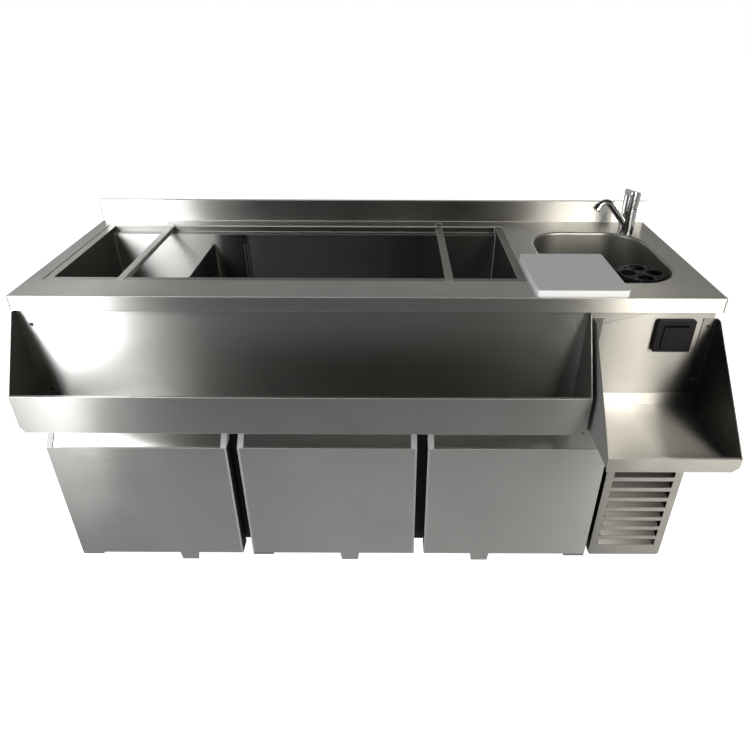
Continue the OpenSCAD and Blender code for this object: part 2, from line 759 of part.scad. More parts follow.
// Swivelling spout: collar round the body, a rising arm, a bend and the outlet
arm_r = [11.5, 9.5];
arm_tilt = 45;
outlet_tilt = 50;
bend_r = 30;
outlet_r = 12;
outlet_l = 12;
aerator_r = 9;
aerator_l = 11;
bend_end = [spout_reach - outlet_l * cos(outlet_tilt), spout_h + outlet_l * sin(outlet_tilt)];
bend_mid = [bend_end[0] - bend_r * sin(outlet_tilt), bend_end[1] - bend_r * cos(outlet_tilt)];
arm_end = [bend_mid[0] - bend_r * sin(arm_tilt), bend_mid[1] + bend_r * cos(arm_tilt)];
arm_l = (arm_end[0] - tap_core_r / 2) / cos(arm_tilt);
module at_outlet() {
    translate([bend_end[0], 0, bend_end[1]]) rotate([0, 90 + outlet_tilt, 0]) children();
}
module tap_spout() {
    color(chrome) at_tap(0) rotate([0, 0, spout_angle]) difference() {
        union() {
            translate([0, 0, collar_z[0]])
                cylinder(r = tap_r, h = collar_z[1] - collar_z[0], $fn = 64);
            translate([arm_end[0], 0, arm_end[1]]) rotate([0, 90 - arm_tilt, 0])
                translate([0, 0, -arm_l])
                    cylinder(r1 = arm_r[0], r2 = arm_r[1] - fit_gap, h = arm_l + cut, $fn = 48);
            translate([bend_mid[0], 0, bend_mid[1]]) rotate([90, 0, 0])
                rotate([0, 0, 90 - outlet_tilt])
                    rotate_extrude(angle = arm_tilt + outlet_tilt, $fn = 96)
                        translate([bend_r, 0]) circle(r = arm_r[1], $fn = 48);
            at_outlet() translate([0, 0, -outlet_l / 3])
                cylinder(r = outlet_r, h = outlet_l * 4 / 3, $fn = 48);
        }
        translate([0, 0, collar_z[0] - cut])
            cylinder(r = tap_core_r, h = collar_z[1] - collar_z[0] + 2 * cut, $fn = 64);
        at_outlet() translate([0, 0, outlet_l - aerator_l])
            cylinder(r = aerator_r, h = aerator_l + cut, $fn = 48);
    }
}

// Aerator screwed into the outlet of the spout
module tap_aerator() {
    color(dark_steel) at_tap(0) rotate([0, 0, spout_angle]) at_outlet()
        translate([0, 0, outlet_l - aerator_l]) difference() {
            cylinder(r = aerator_r - fit_gap, h = aerator_l + cut, $fn = 48);
            for (a = [0 : 60 : 300]) rotate([0, 0, a])
                translate([aerator_r / 2, 0, aerator_l / 2])
                    cylinder(r = aerator_r / 6, h = aerator_l, $fn = 16);
        }
}

// Turning stem of the mixing cartridge, under the lever
module tap_stem() {
    color(copper) at_tap(0)
        translate([0, 0, tap_pivot_h - 2 * tap_ball_r + fit_gap])
            cylinder(r = stem_r, h = tap_ball_r - 3 * fit_gap, $fn = 32);
}

// Lever: a ball in the top of the body and a hood above it, cut away at the rear so that it tilts
lever_angle = 207;
lever_w = 32;
lever_t = 8;
hood_r = 36;
hood_front = 10;
skirt_h = 5;
skirt_slant = 10;
module tap_lever() {
    wide = cap_r + cut;
    color(chrome) at_tap(tap_pivot_h) rotate([0, 0, lever_angle]) {
        sphere(r = tap_ball_r, $fn = 64);
        difference() {
            intersection() {
                translate([0, 0, -skirt_h])
                    cylinder(r = cap_r, h = hood_top + skirt_h, $fn = 64);
                union() {
                    block([-wide, wide], [-wide, wide], [-skirt_h - cut, hood_top - hood_r]);
                    translate([hood_front, 0, 0]) rod_y(0, [-wide, wide], hood_top - hood_r, hood_r);
                }
            }
            translate([cap_r, 0, -skirt_h]) rotate([0, skirt_slant, 0])
                translate([-3 * wide, -wide, -wide]) cube([4 * wide, 2 * wide, wide]);
        }
        intersection() {
            translate([hood_front, 0, 0]) rod_y(0, [-wide, wide], hood_top - hood_r, hood_r);
            translate([lever_l - lever_w / 2, 0, hood_top - lever_t])
                cylinder(r = lever_w / 2, h = lever_t, $fn = 64);
        }
    }
}

// Washer and nut that hold the tap under the worktop
module tap_nut() {
    color(steel) placed() translate([tap_x, tap_y, 0]) difference() {
        union() {
            translate([0, 0, under - tap_foot_h])
                cylinder(r = tap_clear - fit_gap, h = tap_foot_h, $fn = 64);
            translate([0, 0, under - 3 * tap_foot_h])
                cylinder(r = tap_foot_r, h = 2 * tap_foot_h, $fn = 6);
        }
        translate([0, 0, under - 4 * tap_foot_h])
            cylinder(r = shank_r, h = 5 * tap_foot_h, $fn = 64);
    }
}

// Copper tails of the tap, for hot and cold water
module tap_tails() {
    low = worktop_h - shank_l - cut;
    color(copper) placed() for (side = [-1, 1]) {
        x = tap_x + side * tail_apart / 2;
        z = tail_out_z(side);
        translate([x, tap_y, z]) cylinder(r = tail_r, h = low + cut - z, $fn = 32);
        translate([x, tap_y, z]) sphere(r = tail_r, $fn = 32);
        rear_pipe(x, tap_y, z, tail_r, spigot_r);
    }
}
tail_apart = 14;
tail_step = 34;
spigot_r = 7.5;
function tail_out_z(side) = worktop_h - shank_l - tail_l + (1 + side) * tail_step / 2;

// Plastic cutting board, loose on the worktop over the left of the bowl
module cutting_board() {
    color(white) placed()
        round_block([board_x, board_x + board_w], [board_y, board_y + board_d],
                    [worktop_h, worktop_h + board_t], board_r);
}

// A pipe that runs back from a vertical stub and leaves through the body's rear wall
spigot_flange = 8;
spigot_lip = 2;
module rear_pipe(x, y, z, r_pipe, r_spigot) {
    rod_y(x, [y, back_y + spigot_lip], z, r_pipe);
    rod_y(x, [back_y, back_y + spigot_lip], z, r_spigot + spigot_flange);
    rod_y(x, [back_y + spigot_lip, worktop_d + splash_t - spigot_lip], z, r_spigot);
}

// Holes for the screws of the rail and the shelf
module screw_holes(xs, zs) {
    for (x = xs, z = zs)
        rod_y(x, [rail_back_y - cut, apron_y + rail_t + cut], z, screw_shank_r + fit_gap);
}
module screw_group(xs, zs) {
    for (x = xs, z = zs) {
        rod_y(x, [rail_back_y - screw_h, rail_back_y], z, screw_r);
        rod_y(x, [rail_back_y - cut, rail_back_y + screw_l], z, screw_shank_r);
    }
}

// Back of the speed rail, screwed to the apron
in_rail = [rail_x[0] + rail_t, rail_x[1] - rail_t];
module rail_back() {
    color(steel) placed() difference() {
        block(in_rail, [rail_back_y, apron_y], [rail_floor - rail_t, rail_top]);
        screw_holes(rail_screw_x, rail_screw_z);
    }
}

// Floor of the speed rail, on which the bottles stand
module rail_tray() {
    color(steel) placed()
        block(in_rail, [-rail_reach + rail_t, rail_back_y], [rail_floor - rail_t, rail_floor]);
}

// Front lip of the speed rail, with its hem
lip_hem = 8;
module rail_lip() {
    lip_y = [-rail_reach, -rail_reach + rail_t];
    lip_z = [rail_floor - rail_t, rail_floor - rail_t + lip_h];
    color(steel) placed() {
        along_y(lip_y, [[rail_x[0] + lip_chamfer, lip_z[0]], [rail_x[1] - lip_chamfer, lip_z[0]],
                        [rail_x[1], lip_z[0] + lip_chamfer], [rail_x[1], lip_z[1]],
                        [rail_x[0], lip_z[1]], [rail_x[0], lip_z[0] + lip_chamfer]]);
        block(in_rail, [lip_y[0], lip_y[0] + lip_hem], [lip_z[1] - rail_t, lip_z[1]]);
    }
}

// End plates of the speed rail
module rail_end(x) {
    lip_top = rail_floor - rail_t + lip_h;
    color(steel) placed()
        along_x(x, [[apron_y, rail_end_top], [apron_y - end_top_w, rail_end_top],
                    [-rail_reach + rail_t, lip_top], [-rail_reach + rail_t, rail_floor - rail_t
                    + lip_chamfer], [-rail_reach + rail_t + lip_chamfer, rail_floor - rail_t],
                    [apron_y, rail_floor - rail_t]]);
}
module rail_end_left() {
    rail_end([rail_x[0], rail_x[0] + rail_t]);
}
module rail_end_right() {
    rail_end([rail_x[1] - rail_t, rail_x[1]]);
}

// Blender shelf: upstand, floor and lip of one folded sheet
module blender_shelf() {
    in_shelf = [shelf_x[0] + rail_t, shelf_x[1] - rail_t];
    lip_z = [shelf_floor + rail_t - shelf_lip_h + shelf_lip_up, shelf_floor + rail_t + shelf_lip_up];
    color(steel) placed() {
        block(in_shelf, [rail_back_y, apron_y], [shelf_floor, shelf_floor + upstand_h]);
        block(in_shelf, [-shelf_reach, apron_y], [shelf_floor, shelf_floor + rail_t]);
        along_y([-shelf_reach, -shelf_reach + rail_t],
                [[shelf_x[0], lip_z[0]], [shelf_x[1] - lip_chamfer, lip_z[0]],
                 [shelf_x[1], lip_z[0] + lip_chamfer], [shelf_x[1], lip_z[1]],
                 [shelf_x[0], lip_z[1]]]);
        block(in_shelf, [-shelf_reach, -shelf_reach + lip_hem], [lip_z[1] - rail_t, lip_z[1]]);
    }
}
shelf_lip_up = 29;

// Side plates of the shelf, each with a flange screwed to the apron
module shelf_side(x, flange, corner) {
    front = -shelf_reach + rail_t;
    lip_top = shelf_floor + rail_t + shelf_lip_up;
    color(steel) placed() difference() {
        union() {
            along_x(x, concat([[apron_y, shelf_floor], [apron_y, shelf_top]],
                              arc(apron_y - end_top_w + corner, shelf_top - corner, corner, 90, 135),
                              [[front, lip_top], [front, shelf_floor]]));
            block(flange, [rail_back_y, apron_y], [shelf_floor + upstand_h, shelf_top]);
        }
        screw_holes(shelf_screw_x, shelf_screw_z);
    }
}
plate_corner = 8;
module shelf_side_left() {
    shelf_side([shelf_x[0], shelf_x[0] + rail_t],
               [shelf_x[0] + rail_t, shelf_x[0] + rail_t + shelf_flange_l], plate_corner / 4);
}
module shelf_side_right() {
    shelf_side([shelf_x[1] - rail_t, shelf_x[1]], [shelf_x[1] - shelf_flange_r,
                                                   shelf_x[1] - rail_t], plate_corner);
}

// Screws that hold the rail and the shelf to the apron
module screws() {
    color(chrome) placed() {
        screw_group(rail_screw_x, rail_screw_z);
        screw_group(shelf_screw_x, shelf_screw_z);
    }
}

// Socket on the apron: frame with a sunk pocket for the lid
lid_x = [socket_x - lid_w / 2, socket_x + lid_w / 2];
lid_z = [socket_z - lid_low - lid_h / 2, socket_z - lid_low + lid_h / 2];
frame_y = [apron_y - socket_out, apron_y];
lid_y = [frame_y[0] - lid_out, frame_y[0] - lid_out + lid_t];
lid_pivot_y = lid_y[1] - lid_back;
lid_pivot_z = lid_z[1] - lid_axis;
lid_room = norm([lid_t - lid_back, lid_axis]) + fit_gap;
frame_r = 4;
module socket_frame() {
    color(black) placed() difference() {
        translate([0, frame_y[1], 0]) rotate([90, 0, 0])
            round_block([socket_x - socket_w / 2, socket_x + socket_w / 2],
                        [socket_z - socket_h / 2, socket_z + socket_h / 2],
                        [0, socket_out], frame_r);
        block([lid_x[0] - slide_gap, lid_x[1] + slide_gap], [frame_y[0] - cut,
              frame_y[0] + pocket_d], [lid_z[0] - slide_gap, lid_pivot_z + lid_room]);
        rod_y(socket_x, [frame_y[0], frame_y[1] + cut], socket_z, insert_r + fit_gap);
        rod_x([lid_x[0] - lid_pin_l - slide_gap, lid_x[1] + lid_pin_l + slide_gap],
              lid_pivot_y, lid_pivot_z, lid_pin_r + run_gap);
    }
}

// Sprung lid of the socket, on two stub pins
lid_pad = 9;
module socket_lid() {
    color(black) placed() {
        block(lid_x, lid_y, lid_z);
        block([lid_x[0] + lid_pad, lid_x[1] - lid_pad], [lid_y[0] - fit_gap * 4, lid_y[1]],
              [lid_z[0] + lid_pad, lid_z[1] - lid_pad]);
        rod_x([lid_x[0] - lid_pin_l, lid_x[1] + lid_pin_l], lid_pivot_y, lid_pivot_z, lid_pin_r);
    }
}

// Contact insert behind the lid
insert_cup_r = 19;
contact_r = 2.5;
contact_gap = 9.5;
module socket_insert() {
    face = frame_y[0] + pocket_d;
    color(black) placed() difference() {
        rod_y(socket_x, [face, face + insert_l], socket_z, insert_r);
        rod_y(socket_x, [face - cut, face + insert_l / 2], socket_z, insert_cup_r);
        for (side = [-1, 1])
            rod_y(socket_x + side * contact_gap, [face, face + insert_l * contact_share], socket_z,
                  contact_r);
    }
}
contact_share = 0.8;

// Wiring box behind the apron
box_w = 70;
box_d = 42;
box_t = 2;
module socket_box() {
    y = [apron_y + rail_t, apron_y + rail_t + box_d];
    color(dark_steel) placed() difference() {
        block([socket_x - box_w / 2, socket_x + box_w / 2], y,
              [socket_z - box_w / 2, socket_z + box_w / 2]);
        block([socket_x - box_w / 2 + box_t, socket_x + box_w / 2 - box_t],
              [y[0] - cut, y[1] - box_t], [socket_z - box_w / 2 + box_t, socket_z + box_w / 2
              - box_t]);
    }
}

// Apron under the worktop's front edge
module apron() {
    color(steel) placed() difference() {
        block(cab_x, [apron_y, apron_y + rail_t], [cab_z[1], under]);
        screw_holes(rail_screw_x, rail_screw_z);
        screw_holes(shelf_screw_x, shelf_screw_z);
        rod_y(socket_x, [apron_y - cut, apron_y + rail_t + cut], socket_z, insert_r + fit_gap);
    }
}

// Upper body: two sides and the back, between the cabinet and the worktop
module body_shell() {
    y = [apron_y + rail_t, back_y];
    hole_y = [y[1] - shell_t - cut, y[1] + cut];
    color(steel) placed() difference() {
        block(cab_x, y, [cab_z[1], under]);
        block([cab_x[0] + shell_t, cab_x[1] - shell_t], [y[0] - cut, y[1] - shell_t],
              [cab_z[1] - cut, under + cut]);
        rod_y(well_drain_x, hole_y, well_out_z, well_drain_r);
        rod_y(waste_x, hole_y, waste_out_z, waste_pipe_r);
        for (side = [-1, 1])
            rod_y(tap_x + side * tail_apart / 2, hole_y, tail_out_z(side), tail_r + fit_gap);
    }
}

// Outer skin of the cabinet, with the bulkhead and the front frame of the machine bay
bay_frame = 18;
module cabinet_shell() {
    in_z = [cab_z[0] + shell_t, cab_z[1] - shell_t];
    color(steel) placed() {
        difference() {
            block(cab_x, cab_y, cab_z);
            block([cab_x[0] + shell_t, bulkhead_x], [cab_y[0] - cut, cab_y[1] - shell_t], in_z);
            block(machine_x, [cab_y[0] - cut, cab_y[1] - shell_t], in_z);
            for (i = [0 : vent_count - 1])
                block([machine_x[0] + bay_frame, machine_x[1] - bay_frame],
                      [cab_y[1] - shell_t - cut, cab_y[1] + cut],
                      [in_z[0] + vent_low + i * vent_pitch, in_z[0] + vent_low + i * vent_pitch
                       + vent_h]);
        }
        difference() {
            block(machine_x, [cab_y[0], cab_y[0] + face_t], in_z);
            block([machine_x[0] + bay_frame, machine_x[1] - bay_frame],
                  [cab_y[0] - cut, cab_y[0] + face_t + cut],
                  [in_z[0] + bay_frame, in_z[1] - bay_frame]);
        }
    }
}
vent_count = 8;
vent_pitch = 24;
vent_low = 150;
vent_h = 8;

// Clear opening of each door cell
function door_x(i) = [door_left + i * door_pitch, door_left + i * door_pitch + door_w];
function cell_x(i) = [door_x(i)[0] + open_inset, door_x(i)[1] - open_inset];
cell_z = [door_z[0] + open_inset, door_z[1] - open_inset];
store_x = [cell_x(0)[0], cell_x(2)[1]];
store_y = [cab_y[0] + face_t, cab_y[1] - shell_t - foam_t];
mullion_d = 45;

// Inner liner of the cold store: face frame with three openings and the box behind it
module cabinet_liner() {
    color(steel) placed() difference() {
        union() {
            block([cab_x[0] + shell_t, bulkhead_x], [cab_y[0], cab_y[0] + face_t],
                  [cab_z[0] + shell_t, cab_z[1] - shell_t]);
            block([store_x[0] - face_t, store_x[1] + face_t],
                  [cab_y[0] + face_t / 2, store_y[1] + face_t],
                  [cell_z[0] - face_t, cell_z[1] + face_t]);
        }
        block(store_x, [store_y[0], store_y[1]], cell_z);
        for (i = [0 : 2])
            block(cell_x(i), [cab_y[0] - cut, store_y[1]], cell_z);
    }
}

// Foam round the well, and foam between the cabinet's skin and its liner
module insulation() {
    liner_x = [in_x[0] - liner_t, in_x[1] + liner_t];
    liner_y = [in_y[0] - liner_t, in_y[1] + liner_t];
    color(foam) placed() {
        difference() {
            block([liner_x[0] - well_foam, liner_x[1] + well_foam],
                  [liner_y[0] - well_foam, liner_y[1] + well_foam],
                  [well_floor - liner_t - well_foam, ledge_z - liner_t]);
            block(liner_x, liner_y, [well_floor - liner_t, under]);
            translate([well_drain_x, well_drain_y, well_floor - liner_t - well_foam - cut])
                cylinder(r = drain_flange_r, h = well_foam + 2 * cut, $fn = 64);
        }
        difference() {
            block([cab_x[0] + shell_t, bulkhead_x], [cab_y[0] + face_t, cab_y[1] - shell_t],
                  [cab_z[0] + shell_t, cab_z[1] - shell_t]);
            block([store_x[0] - face_t, store_x[1] + face_t], [cab_y[0], store_y[1] + face_t],
                  [cell_z[0] - face_t, cell_z[1] + face_t]);
        }
    }
}

// Foamed posts behind the face frame, between the door cells
module cabinet_mullions() {
    color(dark_steel) placed() for (i = [0 : 1])
        block([cell_x(i)[1], cell_x(i + 1)[0]], [store_y[0], store_y[0] + mullion_d], cell_z);
}

// Rails that carry the wire shelves, between the mullions and the rear wall
runner_w = 12;
runner_h = 8;
store_mid_z = (cell_z[0] + cell_z[1]) / 2;
function runner_x(i, side) = side < 0 ? [cell_x(i)[0], cell_x(i)[0] + runner_w]
                                      : [cell_x(i)[1] - runner_w, cell_x(i)[1]];
module shelf_runners() {
    mullion_back = store_y[0] + mullion_d;
    color(steel) placed() {
        for (i = [0 : 2], side = [-1, 1]) {
            x = runner_x(i, side);
            block(x, [mullion_back, store_y[1]], [store_mid_z - runner_h, store_mid_z]);
        }
        for (i = [0 : 1])
            block([cell_x(i)[1] - runner_w, cell_x(i + 1)[0] + runner_w],
                  [mullion_back, mullion_back + runner_h], [store_mid_z - runner_h, store_mid_z]);
    }
}

// Wire shelf in each cell
wire = 4;
wire_count = 9;
module wire_shelves() {
    y = [store_y[0] + mullion_d + runner_h, store_y[1] - runner_h];
    color(chrome) placed() for (i = [0 : 2]) {
        x = [cell_x(i)[0] + wire, cell_x(i)[1] - wire];
        for (k = [0, 0.5, 1])
            block(x, [y[0] + k * (y[1] - y[0] - wire), y[0] + k * (y[1] - y[0] - wire) + wire],
                  [store_mid_z, store_mid_z + wire]);
        for (k = [0 : wire_count - 1]) {
            wx = x[0] + k * (x[1] - x[0] - wire) / (wire_count - 1);
            block([wx, wx + wire], y, [store_mid_z + wire / 2, store_mid_z + 3 * wire / 2]);
        }
    }
}

// A door's steel skin: front, side and lower folds, slanted grip and pull tab
module door_skin(i, side) {
    x = door_x(i);
    mid = [x[0] + cap_w, x[1] - cap_w];
    bend = skin_t * tan(22.5);
    foot = [door_y[0] + grip_step, door_z[1]];
    crest = [foot[0] + grip_h, door_top];
    tab_in = tab_shares[i] * door_w;
    tab_x = side < 0 ? x[0] + tab_in : x[1] - tab_in - tab_w;
    pin_x = side < 0 ? x[0] + hinge_inset : x[1] - hinge_inset;
    color(steel) placed() difference() {
        union() {
            block(x, [door_y[0], door_y[0] + skin_t], door_z);
            block(x, door_y, [door_z[0], door_z[0] + skin_t]);
            for (e = [x[0], x[1] - skin_t])
                block([e, e + skin_t], door_y, door_z);
            along_x(mid, [[door_y[0], door_z[1]], foot, crest, [door_y[1], door_top],
                          [door_y[1], door_top - skin_t], [crest[0] + bend, door_top - skin_t],
                          [foot[0] + bend, door_z[1] - skin_t], [door_y[0], door_z[1] - skin_t]]);
            along_y([door_y[0] + 2 * tab_t, door_y[0] + 3 * tab_t],
                    [[tab_x, door_z[0]], [tab_x + tab_slant, door_z[0] - tab_h],
                     [tab_x + tab_w - tab_slant, door_z[0] - tab_h], [tab_x + tab_w, door_z[0]]]);
        }
        translate([pin_x, pin_y(side), door_z[0] - cut])
            cylinder(r = pin_r + run_gap, h = skin_t + 2 * cut, $fn = 48);
    }
}

// A door's foamed core, with the grip's end caps in the same moulding
module door_core(i, side) {
    x = door_x(i);
    bend = skin_t * tan(22.5);
    foot_y = door_y[0] + grip_step;
    low = door_z[0] + skin_t;
    seam = door_z[1] - skin_t;
    pin_x = side < 0 ? x[0] + hinge_inset : x[1] - hinge_inset;
    color(grey_plastic) placed() difference() {
        union() {
            along_x([x[0] + skin_t, x[1] - skin_t],
                    [[door_y[0] + skin_t, low], [door_y[0] + skin_t, seam],
                     [foot_y + bend, seam], [foot_y + grip_h + bend, door_top - skin_t],
                     [door_y[1], door_top - skin_t], [door_y[1], low]]);
            for (e = [x[0], x[1] - cap_w])
                along_x([e, e + cap_w],
                        [[door_y[0], door_z[1]], [door_y[0] + grip_h, door_top],
                         [door_y[1], door_top], [door_y[1], door_z[1]]]);
            for (e = [x[0] + skin_t, x[1] - cap_w])
                block([e, e + cap_w - skin_t], [door_y[0] + skin_t, door_y[1]], [low,
                      door_z[1] + cut]);
        }
        translate([pin_x, pin_y(side), low - cut])
            cylinder(r = pin_r + run_gap, h = pin_l + cut, $fn = 48);
        translate([pin_x, pin_y(side), door_z[1] - pin_l])
            cylinder(r = pin_r + run_gap, h = pin_l + grip_h + cut, $fn = 48);
        block([x[0] + 2 * open_inset, x[1] - 2 * open_inset], [door_y[1] - dish, door_y[1] + cut],
              [door_z[0] + 2 * open_inset, door_z[1] - 2 * open_inset]);
    }
}
dish = 4;

// Magnetic gasket on the back of a door
module door_gasket(i) {
    x = door_x(i);
    outer_x = [x[0] + gasket_inset, x[1] - gasket_inset];
    outer_z = [door_z[0] + gasket_inset, door_z[1] - gasket_inset];
    color(dark_steel) placed() difference() {
        block(outer_x, [door_y[1], cab_y[0] - fit_gap], outer_z);
        block([outer_x[0] + gasket_w, outer_x[1] - gasket_w], [door_y[1] - cut, cab_y[0]],
              [outer_z[0] + gasket_w, outer_z[1] - gasket_w]);
    }
}
module door_left_skin() {
    door_skin(0, -1);
}
module door_left_core() {
    door_core(0, -1);
}
module door_left_gasket() {
    door_gasket(0);
}
module door_middle_skin() {
    door_skin(1, -1);
}
module door_middle_core() {
    door_core(1, -1);
}
module door_middle_gasket() {
    door_gasket(1);
}
module door_right_skin() {
    door_skin(2, 1);
}
module door_right_core() {
    door_core(2, 1);
}
module door_right_gasket() {
    door_gasket(2);
}

// Hinge plates above and below each door, with their pins
hinge_w = 62;
hinge_top_w = 18;
hinge_t = 8;
hinge_top_t = 2.5;
hinge_foot = 30;
module hinge(i, side) {
    x = door_x(i);
    pin_x = side < 0 ? x[0] + hinge_inset : x[1] - hinge_inset;
    low_x = side < 0 ? [x[0], x[0] + hinge_w] : [x[1] - hinge_w, x[1]];
    top_x = side < 0 ? [x[0], x[0] + hinge_top_w] : [x[1] - hinge_top_w, x[1]];
    low_z = [door_z[0] - cut - hinge_t, door_z[0] - cut];
    top_z = [door_top + 2 * cut, door_top + 2 * cut + hinge_top_t];
    block(low_x, [door_y[0] + 2 * cut, cab_y[0] + hinge_foot], low_z);
    block(low_x, [cab_y[0] + 2 * cut, cab_y[0] + hinge_foot], [low_z[1], cab_z[0]]);
    block(top_x, [pin_y(side) - pin_r - cut, apron_y], top_z);
    block(top_x, [cab_y[0] + 2 * cut, apron_y], [cab_z[1], top_z[0]]);
    translate([pin_x, pin_y(side), low_z[0]]) cylinder(r = pin_r, h = low_z[1] - low_z[0] + pin_l,
                                                 $fn = 48);
    translate([pin_x, pin_y(side), door_z[1] - pin_l + 2 * cut])
        cylinder(r = pin_r, h = top_z[1] - door_z[1] + pin_l - 2 * cut, $fn = 48);
}
module hinge_brackets() {
    color(dark_steel) placed() {
        hinge(0, -1);
        hinge(1, -1);
        hinge(2, 1);
    }
}

// A block with its two lower corners rounded, seen from the front
grille_r = 9;
module round_foot(x, y, z, r) {
    hull() {
        block(x, y, [z[0] + r, z[1]]);
        for (corner = [x[0] + r, x[1] - r]) rod_y(corner, y, z[0] + r, r);
    }
}

// Grille panel of the machine bay: folded tray with slots and a fin behind each slot
module grille_panel() {
    slot_x = [(grille_x[0] + grille_x[1] - slot_w) / 2, (grille_x[0] + grille_x[1] + slot_w) / 2];
    z = [door_z[0], door_top - 2 * cut];
    slot_pitch = (z[1] - z[0] - slot_low - slot_h - slot_high) / (slot_count - 1);
    color(steel) placed() {
        difference() {
            round_foot(grille_x, [door_y[0], cab_y[0]], z, grille_r);
            round_foot([grille_x[0] + skin_t, grille_x[1] - skin_t],
                       [door_y[0] + skin_t, cab_y[0] + cut], [z[0] + skin_t, z[1] - skin_t],
                       grille_r - skin_t);
            for (i = [0 : slot_count - 1])
                block(slot_x, [door_y[0] - cut, door_y[0] + skin_t + cut],
                      [z[0] + slot_low + i * slot_pitch, z[0] + slot_low + i * slot_pitch + slot_h]);
        }
        for (i = [0 : slot_count - 1]) {
            low = z[0] + slot_low + i * slot_pitch;
            in = door_y[0] + skin_t;
            along_x([slot_x[0] + fin_in, slot_x[1] - fin_in],
                    [[in, low - fin_t], [in, low], [in + slot_h * fin_share, low + slot_h * fin_share],
                     [in + slot_h * fin_share, low + slot_h * fin_share - fin_t]]);
        }
    }
}
fin_in = 4;
fin_share = 0.85;

// Compressor on the floor of the machine bay
comp_r = 72;
comp_h = 110;
comp_dome = 38;
comp_foot = 14;
comp_y = 330;
module compressor() {
    z = cab_z[0] + shell_t;
    color(black) placed() translate([machine_mid, comp_y, z]) {
        rotate_extrude($fn = 72) polygon(concat([[0, comp_foot]],
            [for (i = [0 : arc_n]) let (a = -90 + 90 * i / arc_n)
                [comp_r * cos(a), comp_foot + comp_dome / 2 * (1 + sin(a))]],
            [for (i = [0 : arc_n]) let (a = 90 * i / arc_n)
                [comp_r * cos(a), comp_foot + comp_h + comp_dome * sin(a)]]));
        for (x = [-1, 1], y = [-1, 1])
            translate([x * comp_r * comp_foot_share, y * comp_r * comp_foot_share, 0])
                cylinder(r = comp_foot, h = 2 * comp_foot, $fn = 32);
    }
}
comp_foot_share = 0.62;

// Condenser coil behind the grille
coil_front = 24;
coil_d = 40;
coil_h = 300;
coil_y = [coil_front, coil_front + coil_d];
coil_z = [cab_z[0] + shell_t, cab_z[0] + shell_t + coil_h];
coil_fins = 14;
coil_x = [machine_x[0] + bay_frame, machine_x[1] - bay_frame];
module condenser() {
    pitch = (coil_z[1] - coil_z[0]) / coil_fins;
    color(dark_steel) placed() difference() {
        block(coil_x, coil_y, coil_z);
        for (i = [0 : coil_fins - 1])
            block([coil_x[0] + pitch / 2, coil_x[1] - pitch / 2], [coil_y[0] - cut,
                  coil_y[0] + pitch / 2], [coil_z[0] + (i + 0.25) * pitch, coil_z[0]
                  + (i + 0.75) * pitch]);
    }
}

// Fan shroud behind the coil, with the motor on its arms
shroud_t = 2;
shroud_d = 34;
fan_r = 66;
fan_up = 130;
fan_back = 8;
fan_w = 14;
fan_z = coil_z[0] + fan_up;
motor_r = 24;
motor_l = 40;
fan_y = [coil_y[1] + shroud_t + fan_back, coil_y[1] + shroud_t + fan_back + fan_w];
shaft_r = 4;
module fan_shroud() {
    y = [coil_y[1], coil_y[1] + shroud_d];
    color(black) placed() {
        difference() {
            block(coil_x, y, coil_z);
            block([coil_x[0] + shroud_t, coil_x[1] - shroud_t], [y[0] + shroud_t, y[1] + cut],
                  [coil_z[0] + shroud_t, coil_z[1] - shroud_t]);
            rod_y(machine_mid, [y[0] - cut, y[0] + shroud_t + cut], fan_z, fan_r);
        }
        for (a = [-1, 1])
            block([coil_x[0], coil_x[1]], [y[1] - shroud_t, y[1]],
                  [fan_z + a * motor_r / 2 - shroud_t, fan_z + a * motor_r / 2 + shroud_t]);
        rod_y(machine_mid, [y[1] - shroud_t, y[1] + motor_l], fan_z, motor_r);
        rod_y(machine_mid, [fan_y[0], y[1]], fan_z, shaft_r);
    }
}

// Fan on the motor's shaft
fan_hub_r = 16;
blade_count = 5;
blade_w = 34;
blade_t = 1.5;
blade_pitch = 24;
module fan_blades() {
    mid = (fan_y[0] + fan_y[1]) / 2;
    color(grey_plastic) placed() difference() {
        union() {
            rod_y(machine_mid, fan_y, fan_z, fan_hub_r);
            for (i = [0 : blade_count - 1])
                translate([machine_mid, mid, fan_z]) rotate([0, i * 360 / blade_count, 0])
                    translate([0, 0, fan_hub_r - 2 * blade_t])
                        rotate([0, 0, blade_pitch])
                            translate([-blade_w / 2, -blade_t / 2, 0])
                                cube([blade_w, blade_t, fan_r - fan_hub_r - 3 * blade_t]);
        }
        rod_y(machine_mid, [fan_y[0] - cut, fan_y[1] + cut], fan_z, shaft_r + run_gap);
    }
}

// Legs with plates under the cabinet and adjustable feet
stem_leg_r = 5;
module legs() {
    color(black) placed() for (share = leg_x_shares, y = leg_y)
        translate([share * worktop_w, y, 0]) {
            cylinder(r1 = leg_r * foot_share, r2 = leg_r, h = foot_h / 2, $fn = 48);
            translate([0, 0, foot_h / 2]) cylinder(r = stem_leg_r, h = foot_h, $fn = 32);
            translate([0, 0, foot_h]) cylinder(r = leg_r, h = cab_z[0] - foot_h, $fn = 48);
            translate([-leg_plate / 2, -leg_plate / 2, cab_z[0] - leg_plate_t])
                cube([leg_plate, leg_plate, leg_plate_t]);
        }
}
foot_share = 1.15;

